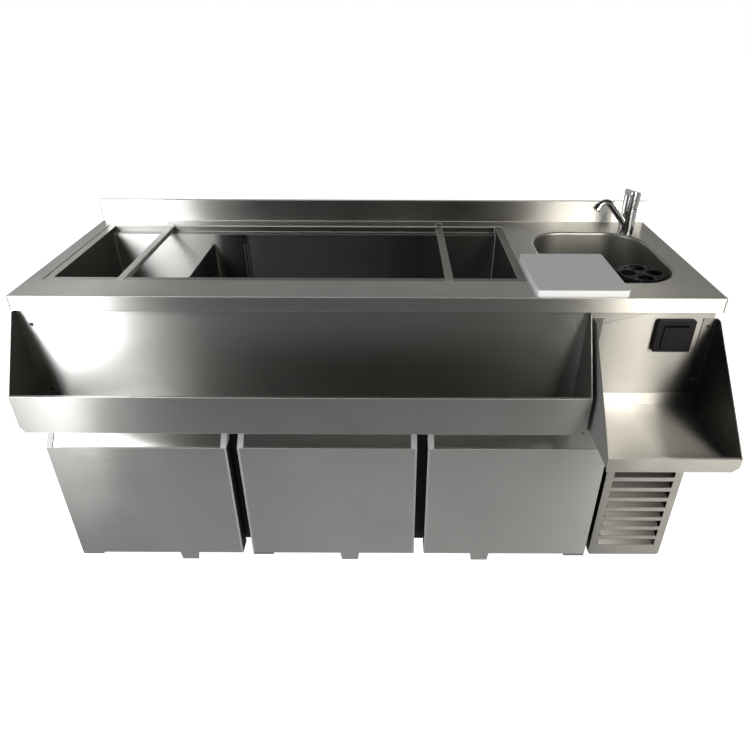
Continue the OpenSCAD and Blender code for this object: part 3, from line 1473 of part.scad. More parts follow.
worktop();
top_rails();
well_liner();
well_drain();
well_partition();
partition_guides();
divider_bar_left();
divider_bar_right();
sink_bowl();
waste_strainer();
waste_tailpipe();
rinser_cup();
rinser_spider();
rinser_spring();
rinser_riser();
tap_body();
tap_spout();
tap_aerator();
tap_stem();
tap_lever();
tap_nut();
tap_tails();
cutting_board();
rail_back();
rail_tray();
rail_lip();
rail_end_left();
rail_end_right();
blender_shelf();
shelf_side_left();
shelf_side_right();
screws();
socket_frame();
socket_lid();
socket_insert();
socket_box();
apron();
body_shell();
cabinet_shell();
cabinet_liner();
insulation();
cabinet_mullions();
shelf_runners();
wire_shelves();
door_left_skin();
door_left_core();
door_left_gasket();
door_middle_skin();
door_middle_core();
door_middle_gasket();
door_right_skin();
door_right_core();
door_right_gasket();
hinge_brackets();
grille_panel();
compressor();
condenser();
fan_shroud();
fan_blades();
legs();
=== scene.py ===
import json
import math
import bpy
import bmesh
from mathutils import Matrix, Vector


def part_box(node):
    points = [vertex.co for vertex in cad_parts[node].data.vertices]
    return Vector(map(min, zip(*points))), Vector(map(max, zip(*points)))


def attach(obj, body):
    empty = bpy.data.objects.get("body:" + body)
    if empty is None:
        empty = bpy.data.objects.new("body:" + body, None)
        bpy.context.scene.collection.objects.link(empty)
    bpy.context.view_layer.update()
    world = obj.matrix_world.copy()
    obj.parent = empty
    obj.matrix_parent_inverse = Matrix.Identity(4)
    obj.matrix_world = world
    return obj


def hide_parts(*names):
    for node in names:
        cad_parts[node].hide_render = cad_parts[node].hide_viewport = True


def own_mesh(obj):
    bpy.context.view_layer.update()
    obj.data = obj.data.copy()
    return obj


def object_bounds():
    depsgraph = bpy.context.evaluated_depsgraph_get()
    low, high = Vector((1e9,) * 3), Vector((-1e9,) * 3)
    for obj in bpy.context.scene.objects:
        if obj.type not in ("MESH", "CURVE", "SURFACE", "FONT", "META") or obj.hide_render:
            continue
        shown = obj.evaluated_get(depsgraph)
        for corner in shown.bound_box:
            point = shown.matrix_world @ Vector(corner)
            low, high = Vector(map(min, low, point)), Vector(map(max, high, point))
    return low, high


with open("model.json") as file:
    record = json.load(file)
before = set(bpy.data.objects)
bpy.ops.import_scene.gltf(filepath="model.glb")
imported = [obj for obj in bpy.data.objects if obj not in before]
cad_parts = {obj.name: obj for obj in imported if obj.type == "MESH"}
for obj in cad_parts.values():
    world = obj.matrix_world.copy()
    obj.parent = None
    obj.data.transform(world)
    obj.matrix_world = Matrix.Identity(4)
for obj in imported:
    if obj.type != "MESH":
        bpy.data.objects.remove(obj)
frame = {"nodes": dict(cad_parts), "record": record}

cad_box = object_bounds()
nodes = frame["nodes"]
scene = bpy.context.scene
left_end, right_end = cad_box[0][0], cad_box[1][0]
doors = ("left", "middle", "right")
door_skins = tuple("door_" + which + "_skin" for which in doors)

# The share of a normal along an axis above which a face looks that way, and the range in which it slants
facing = 0.7
slant_low, slant_high = 0.3, 0.9


# Node trees

class Tree:
    """The nodes of a material or a world, with short calls for those that finishes and stage share."""

    # Sockets of a Mix node for each kind of value: first, second and result
    mix_sockets = {"RGBA": (6, 7, 2), "VECTOR": (4, 5, 1)}

    def __init__(self, owner):
        owner.use_nodes = True
        self.tree = owner.node_tree

    def node(self, kind, **values):
        """A new node. Each value goes to the setting of that name, or else to the input."""
        n = self.tree.nodes.new("ShaderNode" + kind)
        for key, value in values.items():
            if hasattr(n, key):
                setattr(n, key, value)
            else:
                n.inputs[key.replace("_", " ")].default_value = value
        return n

    def link(self, a, b):
        self.tree.links.new(a, b)

    def feed(self, socket, value):
        """A plain value or another node's output for one input."""
        if isinstance(value, bpy.types.NodeSocket):
            self.link(value, socket)
        else:
            socket.default_value = value

    def part(self, vector, axis):
        """One axis of a vector."""
        split = self.node("SeparateXYZ")
        self.link(vector, split.inputs[0])
        return split.outputs[axis]

    def place(self, axis):
        """The place along one axis of the station, in metres."""
        return self.part(self.node("TexCoord").outputs["Object"], axis)

    def math(self, op, a, b=0.0):
        m = self.node("Math", operation=op)
        self.feed(m.inputs[0], a)
        self.feed(m.inputs[1], b)
        return m.outputs[0]

    def mix(self, fac, a, b, kind="RGBA", blend="MIX"):
        m = self.node("Mix", data_type=kind, blend_type=blend)
        first, second, result = self.mix_sockets[kind]
        self.feed(m.inputs[0], fac)
        self.feed(m.inputs[first], a)
        self.feed(m.inputs[second], b)
        return m.outputs[result]

    def either(self, test, no, yes):
        """One shader where the test is 0, and another where it is 1."""
        m = self.node("MixShader")
        self.link(test, m.inputs[0])
        self.link(no.outputs[0], m.inputs[1])
        self.link(yes.outputs[0], m.inputs[2])
        return m

    def span(self, fac, low, high, src=(0.3, 0.7), kind="LINEAR"):
        """A value within src, mapped to the range from low to high."""
        m = self.node("MapRange", interpolation_type=kind, From_Min=src[0], From_Max=src[1],
                      To_Min=low, To_Max=high)
        self.link(fac, m.inputs["Value"])
        return m.outputs["Result"]

    def ramp(self, share, stops):
        """A grey level that follows a share from 0 to 1, from (share, level) pairs."""
        n = self.node("ValToRGB")
        elements = n.color_ramp.elements
        while len(elements) < len(stops):
            elements.new(0.5)
        for stop, (at, level) in zip(elements, stops):
            stop.position = at
            stop.color = (level, level, level, 1)
        self.link(share, n.inputs[0])
        return n.outputs["Color"]

    def along(self, axis, stops):
        """A grey level that follows the place along one axis, from (metres, level) pairs."""
        low, high = stops[0][0], stops[-1][0]
        share = self.span(self.place(axis), 0.0, 1.0, (low, high))
        return self.ramp(share, [((at - low) / (high - low), level) for at, level in stops])

    def bands(self, axis, pairs):
        """1 where the place along one axis lies inside one of the pairs of metres, and 0 elsewhere."""
        at = self.place(axis)
        total = 0.0
        for low, high in pairs:
            inside = self.math("MULTIPLY", self.math("GREATER_THAN", at, low),
                               self.math("LESS_THAN", at, high))
            total = self.math("ADD", inside, total)
        return total


class Shader(Tree):
    """A material with its principled shader."""

    unit = {"X": (1, 0, 0), "Y": (0, 1, 0), "Z": (0, 0, 1)}

    def __init__(self, name):
        self.mat = bpy.data.materials.new(name)
        super().__init__(self.mat)
        self.bsdf = self.tree.nodes["Principled BSDF"]

    def set(self, **values):
        """A plain value or another node's output for each named input of the shader."""
        for key, value in values.items():
            self.feed(self.bsdf.inputs[key.replace("_", " ")], value)

    def noise(self, scale, stretch=(1, 1, 1), detail=4.0, rough=0.6):
        mapping = self.node("Mapping", Scale=stretch)
        self.link(self.node("TexCoord").outputs["Object"], mapping.inputs["Vector"])
        n = self.node("TexNoise", Scale=scale, Detail=detail, Roughness=rough)
        self.link(mapping.outputs["Vector"], n.inputs["Vector"])
        return n.outputs["Fac"]

    def bump(self, height, strength, distance):
        b = self.node("Bump", Strength=strength, Distance=distance)
        self.link(height, b.inputs["Height"])
        self.set(Normal=b.outputs["Normal"])

    def lay_grain(self, axis):
        """The tangent along one axis of the station, or along another where a face looks that way."""
        inward = self.node("VectorTransform", vector_type="NORMAL", convert_from="WORLD",
                           convert_to="OBJECT")
        self.link(self.node("NewGeometry").outputs["Normal"], inward.inputs[0])
        share = self.math("ABSOLUTE", self.part(inward.outputs[0], axis))
        across = self.math("GREATER_THAN", share, facing)
        pick = self.mix(across, self.unit[axis], self.unit["Y" if axis != "Y" else "X"], kind="VECTOR")
        outward = self.node("VectorTransform", vector_type="VECTOR", convert_from="OBJECT",
                            convert_to="WORLD")
        self.link(pick, outward.inputs[0])
        self.set(Tangent=outward.outputs[0])


def scaled(colour, k):
    """A colour made k times as bright, with its alpha."""
    return (*(min(1.0, c * k) for c in colour), 1)


# Finishes

def steel(name, colour=(0.585, 0.58, 0.56), rough=0.36, aniso=0.98, grain="X", contrast=1.0,
          fades=(), lit_bands=(), lit_band_colour=(0.215, 0.217, 0.222)):
    """Brushed stainless steel, with its grain along one axis of the station.

    Each fade is an axis and the brightness factors along it, as painted reflection and shade. Between the
    given pairs of X the colour is plain, and the surface isn't a metal: painted light.
    """
    grain_along, grain_across = 14.0, 2400.0
    darker, lighter, rougher = 0.05 * contrast, 0.04 * contrast, 0.03 * contrast
    s = Shader(name)
    streak = s.noise(1.0, [grain_along if axis == grain else grain_across for axis in "XYZ"], rough=0.62)
    smudge = s.noise(5.0, (1, 1.4, 1.4), rough=0.55)
    shade = s.mix(s.span(streak, 0.0, 1.0), scaled(colour, 1 - darker), scaled(colour, 1 + lighter))
    # Painted reflection and shade: the colour is multiplied by each fade along its axis
    for axis, stops in fades:
        shade = s.mix(1.0, shade, s.along(axis, stops), blend="MULTIPLY")
    s.set(Metallic=1.0, Anisotropic=aniso, Anisotropic_Rotation=0.25)
    # Painted light: a plain colour, no metal, in bands along X
    if lit_bands:
        in_lit_band = s.bands("X", lit_bands)
        shade = s.mix(in_lit_band, shade, (*lit_band_colour, 1))
        s.set(Metallic=s.math("SUBTRACT", 1.0, in_lit_band))
    s.set(Base_Color=shade,
          Roughness=s.math("ADD", s.span(streak, low=rough - rougher, high=rough + rougher),
                           s.span(smudge, low=-0.02, high=0.02)))
    s.bump(streak, strength=0.05 * contrast, distance=0.00005)
    s.lay_grain(grain)
    return s.mat


def polished(name, colour=(0.86, 0.87, 0.88), rough=0.05):
    """Smooth metal with faint smudges."""
    s = Shader(name)
    smudge = s.noise(40.0)
    s.set(Base_Color=s.mix(smudge, scaled(colour, 0.96), scaled(colour, 1.0)),
          Roughness=s.span(smudge, low=rough * 0.6, high=rough * 1.8), Metallic=1.0)
    s.bump(s.noise(900.0, detail=3.0, rough=0.5), strength=0.02, distance=0.0001)
    return s.mat


def plastic(name, colour, rough=0.4, grain=1500.0, grain_depth=0.12, vary=0.12, shine=0.5):
    """Plastic, paint, rubber or foam: clouded in colour and gloss, with a fine grain."""
    s = Shader(name)
    cloud = s.noise(9.0)
    fine = s.noise(grain, detail=3.0)
    s.set(Base_Color=s.mix(cloud, scaled(colour, 1 - vary), scaled(colour, 1 + vary)),
          Roughness=s.math("ADD", s.span(fine, low=rough - 0.05, high=rough + 0.05),
                           s.span(cloud, low=-0.04, high=0.04)),
          Specular_IOR_Level=shine)
    s.bump(fine, strength=grain_depth, distance=0.0004)
    return s.mat


# Brightness factors along X, as (metres, factor). They were set by comparing the render's grey
# levels with the photo's, and stand in for what the sheets reflect in the photo's room.
# These fades are painted reflection and painted shade: each sheet grows lighter or darker along its length,
# and the well is painted darker beside its partition.
top_x = ((left_end, 0.45), (-0.8, 0.55), (-0.72, 0.68), (-0.54, 0.70), (-0.3, 1.0), (-0.1, 1.0),
         (0.2, 0.97), (0.6, 0.90), (0.8, 0.45), (right_end, 0.40))
splash_x = ((left_end, 0.92), (-0.6, 0.92), (-0.52, 0.69), (-0.4, 0.68), (-0.24, 0.58), (-0.07, 0.55),
            (0.1, 0.74), (0.26, 0.48), (0.42, 0.54), (0.55, 1.0), (right_end, 1.0))
apron_x = ((left_end, 1.0), (0.72, 1.0), (0.8, 0.65), (right_end, 0.6))
well_x = ((left_end, 1.0), (-0.52, 1.0), (-0.49, 0.22), (-0.412, 0.10), (-0.40, 0.62), (-0.2, 0.65),
          (-0.07, 0.63), (0.0, 0.58), (0.15, 0.42), (0.3, 0.52), (0.38, 0.66), (right_end, 0.7))
bowl_x = ((0.45, 0.52), (0.54, 0.56), (0.60, 1.0), (0.70, 1.0), (0.73, 0.95), (0.76, 0.5),
          (right_end, 0.45))
rail_x = ((left_end, 1.0), (-0.65, 1.0), (-0.4, 0.66), (0.0, 0.60), (0.4, 0.54), (0.5, 0.44),
          (0.58, 0.40))
tray_x = ((left_end, 0.7), (-0.72, 1.0), (-0.64, 1.0), (-0.47, 0.48), (-0.3, 0.43), (0.58, 0.38))
lip_x = ((left_end, 0.20), (-0.75, 0.42), (-0.6, 0.70), (-0.3, 0.85), (0.3, 1.0), (0.58, 0.8))
grip_x = ((left_end, 1.0), (-0.6, 1.0), (-0.48, 0.72), (-0.3, 0.78), (-0.1, 0.9), (0.06, 1.0),
          (0.22, 0.9), (0.4, 0.79), (0.7, 0.66))
door_x = ((left_end, 0.25), (-0.8, 0.34), (-0.72, 0.50), (-0.6, 0.70), (-0.5, 0.74), (-0.2, 0.90),
          (0.7, 0.97))
shelf_x = ((0.57, 1.0), (0.72, 1.0), (0.76, 0.75), (0.83, 0.62), (right_end, 0.35))
shelf_lip_x = ((0.57, 0.97), (0.65, 0.90), (0.72, 0.64), (right_end, 0.66))
# Painted shade on the grille's fins: darker towards the right and towards the top, under the shelf.
fins_x = ((0.70, 1.0), (0.80, 0.45), (0.87, 0.12))
fins_z = ((0.15, 1.0), (0.35, 0.5), (0.46, 0.12))

# Painted shade at the ends of the folded sheets.
# The last few millimetres of a folded sheet are dark. These fades have a short range of their own, because
# a colour ramp holds only 256 steps.
fold_dark, fold_clear, fold_range = 0.0032, 0.005, 0.05
left_fold_x = ((left_end, 0.08), (left_end + fold_dark, 0.08), (left_end + fold_clear, 1.0),
               (left_end + fold_range, 1.0))
right_fold_x = ((right_end - fold_range, 1.0), (right_end - fold_clear, 1.0),
                (right_end - fold_dark, 0.14), (right_end, 0.14))

# Painted highlights along the doors' rounded edges at the two gaps between them: each edge, and the side on
# which its door lies
gap_edges = ((-0.394, -1), (-0.3635, 1), (0.1335, -1), (0.164, 1))
highlight_past, highlight_reach = 0.0005, 0.0055
door_edge_highlights = [sorted((edge - inward * highlight_past, edge + inward * highlight_reach)) for edge, inward in gap_edges]

# The whole of the shelf's left side plate, whose outward faces get painted light: a plain paler colour
side_plate_x = (0.5, 0.7)

finish = {
    "steel": steel("steel_brushed_x"),
    "steel_y": steel("steel_brushed_y", grain="Y"),
    # Painted light and shade: the worktop's top, backsplash and front fold are lighter and darker copies of
    # one steel, with painted reflections along X
    "steel_top": steel("steel_top", (0.86, 0.855, 0.83), fades=[("X", top_x)]),
    "steel_splash": steel("steel_splash", (0.96, 0.955, 0.93), fades=[("X", left_fold_x), ("X", splash_x)]),
    "steel_fold": steel("steel_fold", (0.66, 0.655, 0.635), fades=[("X", left_fold_x), ("X", right_fold_x)]),
    # Painted shade on the sides of the cabinet and body: a dark copy of the steel
    "steel_side": steel("steel_side", (0.22, 0.218, 0.21), rough=0.40, aniso=0.9, grain="Z"),
    # Painted reflection and shade on the apron: a darker steel that darkens further to the right
    "steel_apron": steel("steel_apron", (0.42, 0.417, 0.405), fades=[("X", apron_x)]),
    # Painted shade on the front flanges of the shelf's side plates: a dark copy of the steel
    "steel_flange": steel("steel_flange", (0.17, 0.17, 0.165)),
    # Painted reflection and shade in the well: its walls fade along X, and its side walls, ledge and rim are
    # darker copies of the steel
    "steel_well": steel("steel_well", (0.90, 0.895, 0.87), rough=0.44, aniso=1.0, fades=[("X", well_x)]),
    "steel_well_side": steel("steel_well_side", (0.10, 0.10, 0.095), rough=0.40, aniso=0.8),
    "steel_ledge": steel("steel_ledge", (0.40, 0.397, 0.385)),
    "steel_rim": steel("steel_rim", (0.46, 0.455, 0.44)),
    # Painted reflection and shade in the sink bowl, along X
    "steel_bowl": steel("steel_bowl", (0.70, 0.695, 0.665), rough=0.42, aniso=0.0, fades=[("X", bowl_x)]),
    # Painted reflection and shade along the speed rail's back, tray and lip
    "steel_rail": steel("steel_rail", (0.90, 0.895, 0.87), rough=0.38, aniso=0.93, fades=[("X", rail_x)]),
    "steel_tray": steel("steel_tray", (0.72, 0.715, 0.69), rough=0.38, aniso=0.93, fades=[("X", tray_x)]),
    "steel_lip": steel("steel_lip", (0.80, 0.795, 0.77), fades=[("X", lip_x)]),
    # Painted shade on the speed rail's left end plate: a dark copy of the steel
    "steel_end": steel("steel_end", (0.12, 0.12, 0.115), rough=0.30, aniso=0.9, grain="Y"),
    # Painted reflection on the doors and their grips, darker towards the left; the bands at the gaps are
    # painted highlights
    "steel_door": steel("steel_door", (0.84, 0.835, 0.81), rough=0.29, aniso=0.95, contrast=0.4,
                        fades=[("X", door_x)], lit_bands=door_edge_highlights),
    "steel_grip": steel("steel_grip", (0.95, 0.945, 0.92), rough=0.29, aniso=0.95, contrast=0.4,
                        fades=[("X", grip_x)]),
    # Painted reflection and shade along the blender shelf and its lip, darker towards the right
    "steel_shelf": steel("steel_shelf", (0.85, 0.845, 0.82), fades=[("X", shelf_x)]),
    "steel_shelf_lip": steel("steel_shelf_lip", fades=[("X", shelf_lip_x)]),
    # Painted shade on the shelf's right side plate: a dark copy of the steel
    "steel_plate": steel("steel_plate", (0.19, 0.19, 0.182), rough=0.30, aniso=0.9, grain="Y"),
    # Painted light on the outward faces of the shelf's left side plate
    "steel_painted_light": steel("steel_painted_light", rough=0.5, aniso=0.0, lit_bands=[side_plate_x],
                        lit_band_colour=(0.13, 0.129, 0.124)),
    # Painted shade on the grille panel: a darker copy of the steel
    "steel_grille": steel("steel_grille", (0.38, 0.377, 0.367)),
    # Painted highlight on rounded edges: a paler, rougher steel without the fades
    "steel_edge": steel("steel_edge", (0.80, 0.795, 0.77), rough=0.62, aniso=0.0, contrast=0.4),
    "dark_steel": steel("steel_dark", (0.34, 0.335, 0.33), rough=0.38, aniso=0.4),
    # Painted shade on the grille's fins: a dark steel, darker still towards the right and the top
    "fins": steel("fins", (0.20, 0.20, 0.19), rough=0.45, aniso=0.0, fades=[("X", fins_x), ("Z", fins_z)]),
    "chrome": polished("chrome", rough=0.11),
    "spring_steel": polished("spring_steel", (0.62, 0.61, 0.59), 0.2),
    "copper": polished("copper", (0.75, 0.42, 0.26), 0.28),
    "black": plastic("plastic_black", (0.016, 0.016, 0.018), 0.38),
    "black_paint": plastic("paint_black", (0.02, 0.02, 0.02), 0.3, grain=300.0),
    "foam": plastic("foam", (0.72, 0.62, 0.38), 0.8, grain=400.0, grain_depth=0.5),
    "grey_plastic": plastic("plastic_grey", (0.36, 0.365, 0.385), 0.42),
    "gasket": plastic("rubber_gasket", (0.05, 0.05, 0.052), 0.55, grain=700.0),
    "rinser_black": plastic("rinser_black", (0.008, 0.008, 0.009), 0.5, grain=700.0, shine=0.3),
    "socket_black": plastic("socket_black", (0.007, 0.007, 0.008), 0.5, grain=900.0, shine=0.22),
    # Painted highlight on the socket's rounded edges: a paler copy of its black
    "socket_edge": plastic("socket_edge", (0.09, 0.09, 0.094), 0.5, grain=900.0),
    # Painted shade: near black, for door sides, cabinet fronts and mullions in the gaps
    "shade": plastic("painted_shade", (0.012, 0.012, 0.012), 0.7, grain=700.0, grain_depth=0.05),
    "white": plastic("board_white", (0.44, 0.45, 0.465), 0.5, grain=1100.0, grain_depth=0.25, vary=0.03),
    # Painted light on the board's sides: a paler copy of its white
    "white_edge": plastic("board_edge", (0.62, 0.63, 0.645), 0.5, grain=1100.0, grain_depth=0.25, vary=0.03),
}

# Nodes whose finish isn't the one of their material slot
own_finish = {
    "worktop": "steel_top", "apron": "steel_apron", "sink_bowl": "steel_bowl",
    "well_liner": "steel_well", "well_partition": "steel_well",
    "rail_back": "steel_rail", "rail_tray": "steel_tray", "rail_lip": "steel_lip",
    "rail_end_left": "steel_end", "rail_end_right": "steel_y",
    "blender_shelf": "steel_shelf", "shelf_side_left": "steel_y", "shelf_side_right": "steel_plate",
    "grille_panel": "steel_grille", "cabinet_mullions": "shade",
    "rinser_cup": "rinser_black", "rinser_spider": "rinser_black",
    "socket_frame": "socket_black", "socket_lid": "socket_black",
}
own_finish.update((skin, "steel_door") for skin in door_skins)
slot_of = {s["node"]: s["material_slot"] for s in frame["record"]["subparts"]}


# Finishes and rounded edges on the CAD nodes

def dress(obj, key):
    obj.data.materials.clear()
    obj.data.materials.append(finish[key])
    for p in obj.data.polygons:
        p.material_index = 0


def soften(obj, width, edge=None, angle=35):
    """Rounded edges by modifiers alone, with a finish of their own where one is named: a painted highlight.
    """
    weld = obj.modifiers.new("weld", "WELD")
    weld.merge_threshold = 0.00002
    bevel = obj.modifiers.new("bevel", "BEVEL")
    bevel.width = width
    bevel.segments = 2
    bevel.limit_method = "ANGLE"
    bevel.angle_limit = math.radians(angle)
    bevel.harden_normals = True
    bevel.use_clamp_overlap = True
    if edge:
        obj.data.materials.append(finish[edge])
        bevel.material = len(obj.data.materials) - 1


def repaint(obj, key, wanted):
    """Another finish on the faces of a CAD node that the test picks."""
    obj.data.materials.append(finish[key])
    for p in obj.data.polygons:
        if wanted(p):
            p.material_index = len(obj.data.materials) - 1


def looks_forward(p):
    return p.normal.y < -facing


def looks_sideways(p):
    return abs(p.normal.x) > facing


def slants(p):
    return slant_low < abs(p.normal.z) < slant_high


for name, obj in nodes.items():
    dress(obj, own_finish.get(name, slot_of[name]))

# Widths of the rounded edges, in metres. The speed rail's back keeps its edges sharp, because a bevel there
# shades the long slivers between its holes.
sheet_edge, thick_edge, spider_edge = 0.0008, 0.0012, 0.0003
sheets = ("worktop", "rail_tray", "rail_lip", "rail_end_left", "rail_end_right", "blender_shelf",
          "shelf_side_left", "shelf_side_right", "divider_bar_left", "divider_bar_right",
          "well_liner", "well_partition", "apron", "grille_panel", "hinge_brackets")
# The named edge finishes paint highlights along the rounded edges
softened = (
    (sheets, sheet_edge, "steel_edge"),
    (door_skins, thick_edge, "steel_edge"),
    (("socket_frame", "socket_lid"), thick_edge, "socket_edge"),
    (("cutting_board", "rinser_cup"), thick_edge, None),
    (("rinser_spider",), spider_edge, None),
)
for names, width, edge in softened:
    for name in names:
        soften(nodes[name], width, edge)

# Places that tell the faces of one node apart, in metres: the backsplash lies behind the first,
# the worktop's front fold before the second, the well's rim and ledge above the next two,
# and the shelf's lip before the last. The doors' sides have to face X more squarely than other faces.
splash_y, fold_y, rim_z, ledge_z, shelf_lip_y = 0.3, 0.0, 0.85, 0.9, -0.3
door_side = 0.9
# Each repaint below paints light or shade: the chosen faces get a lighter or darker finish than the rest of
# their node
repaints = (
    (("grille_panel",), "fins", slants),
    (("worktop",), "steel_splash", lambda p: looks_forward(p) and p.center.y > splash_y),
    (("worktop",), "steel_fold", lambda p: looks_forward(p) and p.center.y < fold_y),
    (("well_liner",), "steel_rim", lambda p: p.normal.z > facing and p.center.z > rim_z),
    (("blender_shelf",), "steel_shelf_lip", lambda p: looks_forward(p) and p.center.y < shelf_lip_y),
    (("well_liner", "well_partition"), "steel_well_side", looks_sideways),
    (("well_liner",), "steel_ledge", lambda p: looks_forward(p) and p.center.z > ledge_z),
    (("shelf_side_left", "shelf_side_right"), "steel_flange", looks_forward),
    (("shelf_side_left",), "steel_painted_light", lambda p: p.normal.x < -facing),
    (("cabinet_shell", "cabinet_liner", "body_shell"), "shade", looks_forward),
    (("cabinet_shell", "body_shell"), "steel_side", looks_sideways),
    (("cutting_board",), "white_edge", lambda p: abs(p.normal.z) < facing),
    (door_skins, "shade", lambda p: abs(p.normal.x) > door_side),
    (door_skins, "steel_grip", slants),
)
for names, key, wanted in repaints:
    for name in names:
        repaint(nodes[name], key, wanted)


# Pieces in mesh code: the door gaskets and the rinser's spring

def add_mesh(name, bm):
    """A new object in the scene from mesh code."""
    mesh = bpy.data.meshes.new(name)
    bm.to_mesh(mesh)
    bm.free()
    obj = bpy.data.objects.new(name, mesh)
    scene.collection.objects.link(obj)
    return obj


def swept(name, rings, closed, key, smooth=True):
    """One skin over rings of points with equal counts, capped at the ends where it isn't closed."""
    bm = bmesh.new()
    loops = [[bm.verts.new(point) for point in ring] for ring in rings]
    count = len(loops[0])
    for i in range(len(loops) if closed else len(loops) - 1):
        here, after = loops[i], loops[(i + 1) % len(loops)]
        for k in range(count):
            bm.faces.new((here[k], here[(k + 1) % count], after[(k + 1) % count], after[k]))
    if not closed:
        bm.faces.new(loops[0][::-1])
        bm.faces.new(loops[-1])
    bmesh.ops.recalc_face_normals(bm, faces=bm.faces)
    for face in bm.faces:
        face.smooth = smooth
    obj = add_mesh(name, bm)
    obj.data.materials.append(finish[key])
    return obj


# Section of a gasket as shares of its width and depth, of which one half mirrors the other: a foot on
# the door, a fold, and the bulb that meets the cabinet
gasket_half = ((1.0, 0.0), (1.0, 0.14), (0.88, 0.22), (0.88, 0.27), (1.0, 0.36), (1.0, 0.66), (0.96, 0.82),
               (0.86, 0.94), (0.70, 1.0))
gasket_mirror = [(1 - u, v) for u, v in gasket_half]
gasket_section = [gasket_mirror[0], *gasket_half, *reversed(gasket_mirror[1:])]
gasket_width, gasket_edge, gasket_angle = 0.012, 0.0005, 15
for which in doors:
    node = "door_" + which + "_gasket"
    low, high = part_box(node)
    corners = ((low[0], low[2], 1, 1), (high[0], low[2], -1, 1),
               (high[0], high[2], -1, -1), (low[0], high[2], 1, -1))
    rings = [[(x + sx * u * gasket_width, low[1] + v * (high[1] - low[1]), z + sz * u * gasket_width)
              for u, v in gasket_section] for x, z, sx, sz in corners]
    seal = swept("seal_" + which, rings, True, "gasket", smooth=False)
    soften(seal, gasket_edge, angle=gasket_angle)
    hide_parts(node)
    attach(seal, "door_" + which)

coil_radius, coil_wire, coil_turns, coil_steps, coil_sides = 0.011, 0.0008, 4, 32, 12
low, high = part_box("rinser_spring")
coil_middle = Vector(((low[0] + high[0]) / 2, (low[1] + high[1]) / 2, low[2]))
coil_rise = high[2] - low[2] - 2 * coil_wire
up = Vector((0, 0, 1))
rings = []
for i in range(coil_turns * coil_steps + 1):
    turn = 2 * math.pi * i / coil_steps
    out = Vector((math.cos(turn), math.sin(turn), 0.0))
    centre = coil_middle + out * coil_radius + up * (coil_wire + coil_rise * i / (coil_turns * coil_steps))
    rings.append([centre + coil_wire * (math.cos(a) * out + math.sin(a) * up)
                  for a in (2 * math.pi * k / coil_sides for k in range(coil_sides))])
coil = swept("spring_coil", rings, False, "spring_steel")
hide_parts("rinser_spring")
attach(coil, "station")
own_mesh(coil)


# Stage: a pale floor, a darker floor that only reflections see, three soft lights and the surroundings

floor_side, mirror_depth = 40, 0.002


def stage_floor(name, level, material):
    """A square floor, one metre across before its scale."""
    bm = bmesh.new()
    bmesh.ops.create_grid(bm, x_segments=1, y_segments=1, size=0.5)
    obj = add_mesh(name, bm)
    obj.scale = (floor_side, floor_side, 1)
    obj.location = (0, 0, level)
    obj.data.materials.append(material)
    return obj


def glow(name, colour, reach, levels):
    """A glow whose strength follows the distance in front of the origin, from (share of reach, level)."""
    mat = bpy.data.materials.new(name)
    t = Tree(mat)
    t.tree.nodes.clear()
    emit = t.node("Emission", Color=(*colour, 1))
    forward = t.part(t.node("NewGeometry").outputs["Position"], "Y")
    t.link(t.ramp(t.span(forward, 0.0, 1.0, (0.0, -reach)), levels), emit.inputs["Strength"])
    t.link(emit.outputs[0], t.node("OutputMaterial").inputs[0])
    return mat


pale = plastic("floor_pale", (0.42, 0.42, 0.42), 0.9, grain=30.0, grain_depth=0.0, vary=0.0)
pale_inputs = pale.node_tree.nodes["Principled BSDF"].inputs
pale_inputs["Emission Color"].default_value = (1, 1, 1, 1)
pale_inputs["Emission Strength"].default_value = 0.95
floor = stage_floor("floor", 0, pale)
floor.visible_glossy = False

mirror_levels = ((0.0, 0.36), (0.22, 0.36), (0.31, 0.27), (0.50, 0.15), (1.0, 0.12))
mirror_glow = glow("floor_grey", (0.97, 1.0, 0.98), 4.0, mirror_levels)
mirror_floor = stage_floor("floor_in_reflections", -mirror_depth, mirror_glow)
mirror_floor.visible_camera = False
mirror_floor.visible_diffuse = False
mirror_floor.visible_shadow = False
mirror_floor.visible_transmission = False


def area(name, size, place, target, power, colour=(1, 1, 1)):
    """A soft rectangular light at one place, turned to another."""
    light = bpy.data.lights.new(name, "AREA")
    light.shape = "RECTANGLE"
    light.size, light.size_y = size
    light.energy = power
    light.color = colour
    obj = bpy.data.objects.new(name, light)
    obj.location = place
    obj.rotation_euler = (Vector(target) - Vector(place)).to_track_quat("-Z", "Y").to_euler()
    scene.collection.objects.link(obj)
    return obj


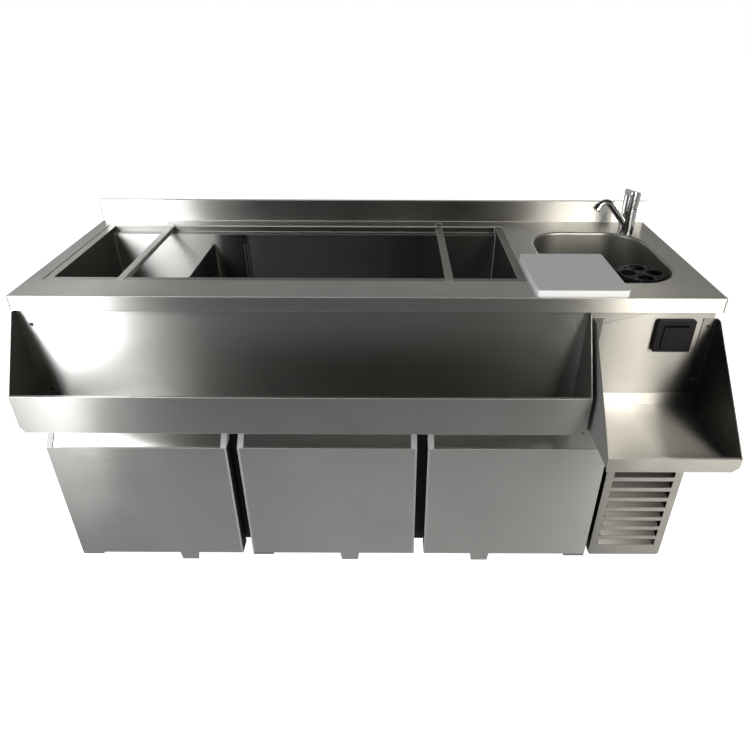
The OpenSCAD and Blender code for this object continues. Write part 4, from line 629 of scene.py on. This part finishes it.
area("window_left", size=(1.9, 2.6), place=(-2.22, -1.3, 1.35), target=(-2.22, 0.0, 1.35), power=122)
area("window_right", size=(1.6, 2.0), place=(2.04, -1.78, 1.52), target=(2.04, 0.0, 1.52), power=64,
     colour=(1.0, 0.94, 0.84))
over = area("ceiling", size=(3.4, 2.2), place=(0.0, 0.2, 3.4), target=(0.0, 0.2, 0.5), power=14)
over.visible_glossy = False

# The surroundings are white to the camera, soft as light, and in reflections they brighten towards the back
world = bpy.data.worlds.new("surroundings")
scene.world = world
sky = Tree(world)
sky.tree.nodes.clear()
ray = sky.node("LightPath")
as_light = sky.node("Background", Strength=0.3)
as_seen = sky.node("Background", Color=(1, 1, 1, 1), Strength=1.0)
as_reflected = sky.node("Background", Color=(0.98, 1.0, 0.97, 1))
backward = sky.part(sky.node("TexCoord").outputs["Generated"], "Y")
brightness = sky.span(backward, low=0.02, high=0.36, src=(0.2, 0.75), kind="SMOOTHSTEP")
sky.link(brightness, as_reflected.inputs["Strength"])
plain = sky.either(ray.outputs["Is Camera Ray"], as_light, as_seen)
surface = sky.either(ray.outputs["Is Glossy Ray"], plain, as_reflected)
sky.link(surface.outputs[0], sky.node("OutputWorld").inputs[0])

# Camera at the photograph's place. Its side, focal length and optical centre are in pixels of the photo.
photo_side, photo_focal, photo_centre = 750.0, 608.3, (390.1, 354.8)
sensor_mm = 36.0
camera_place = (0.0585, -1.5567, 1.5921)
pitch, yaw, roll = (math.radians(a) for a in (30.36, -0.02, -0.22))
forward = Vector((math.sin(yaw) * math.cos(pitch), math.cos(yaw) * math.cos(pitch), -math.sin(pitch)))
side = Vector((math.cos(yaw), -math.sin(yaw), 0.0))
down = forward.cross(side)
right = math.cos(roll) * side + math.sin(roll) * down
down = -math.sin(roll) * side + math.cos(roll) * down
camera_data = bpy.data.cameras.new("camera")
camera_data.sensor_width = sensor_mm
camera_data.lens = photo_focal * sensor_mm / photo_side
camera_data.shift_x = (photo_side / 2 - photo_centre[0]) / photo_side
camera_data.shift_y = (photo_centre[1] - photo_side / 2) / photo_side
camera = bpy.data.objects.new("camera", camera_data)
rotation = Matrix((right, -down, -forward)).transposed().to_4x4()
camera.matrix_world = Matrix.Translation(camera_place) @ rotation
scene.collection.objects.link(camera)
scene.camera = camera

scene.view_settings.view_transform = "Standard"
scene.view_settings.look = "None"
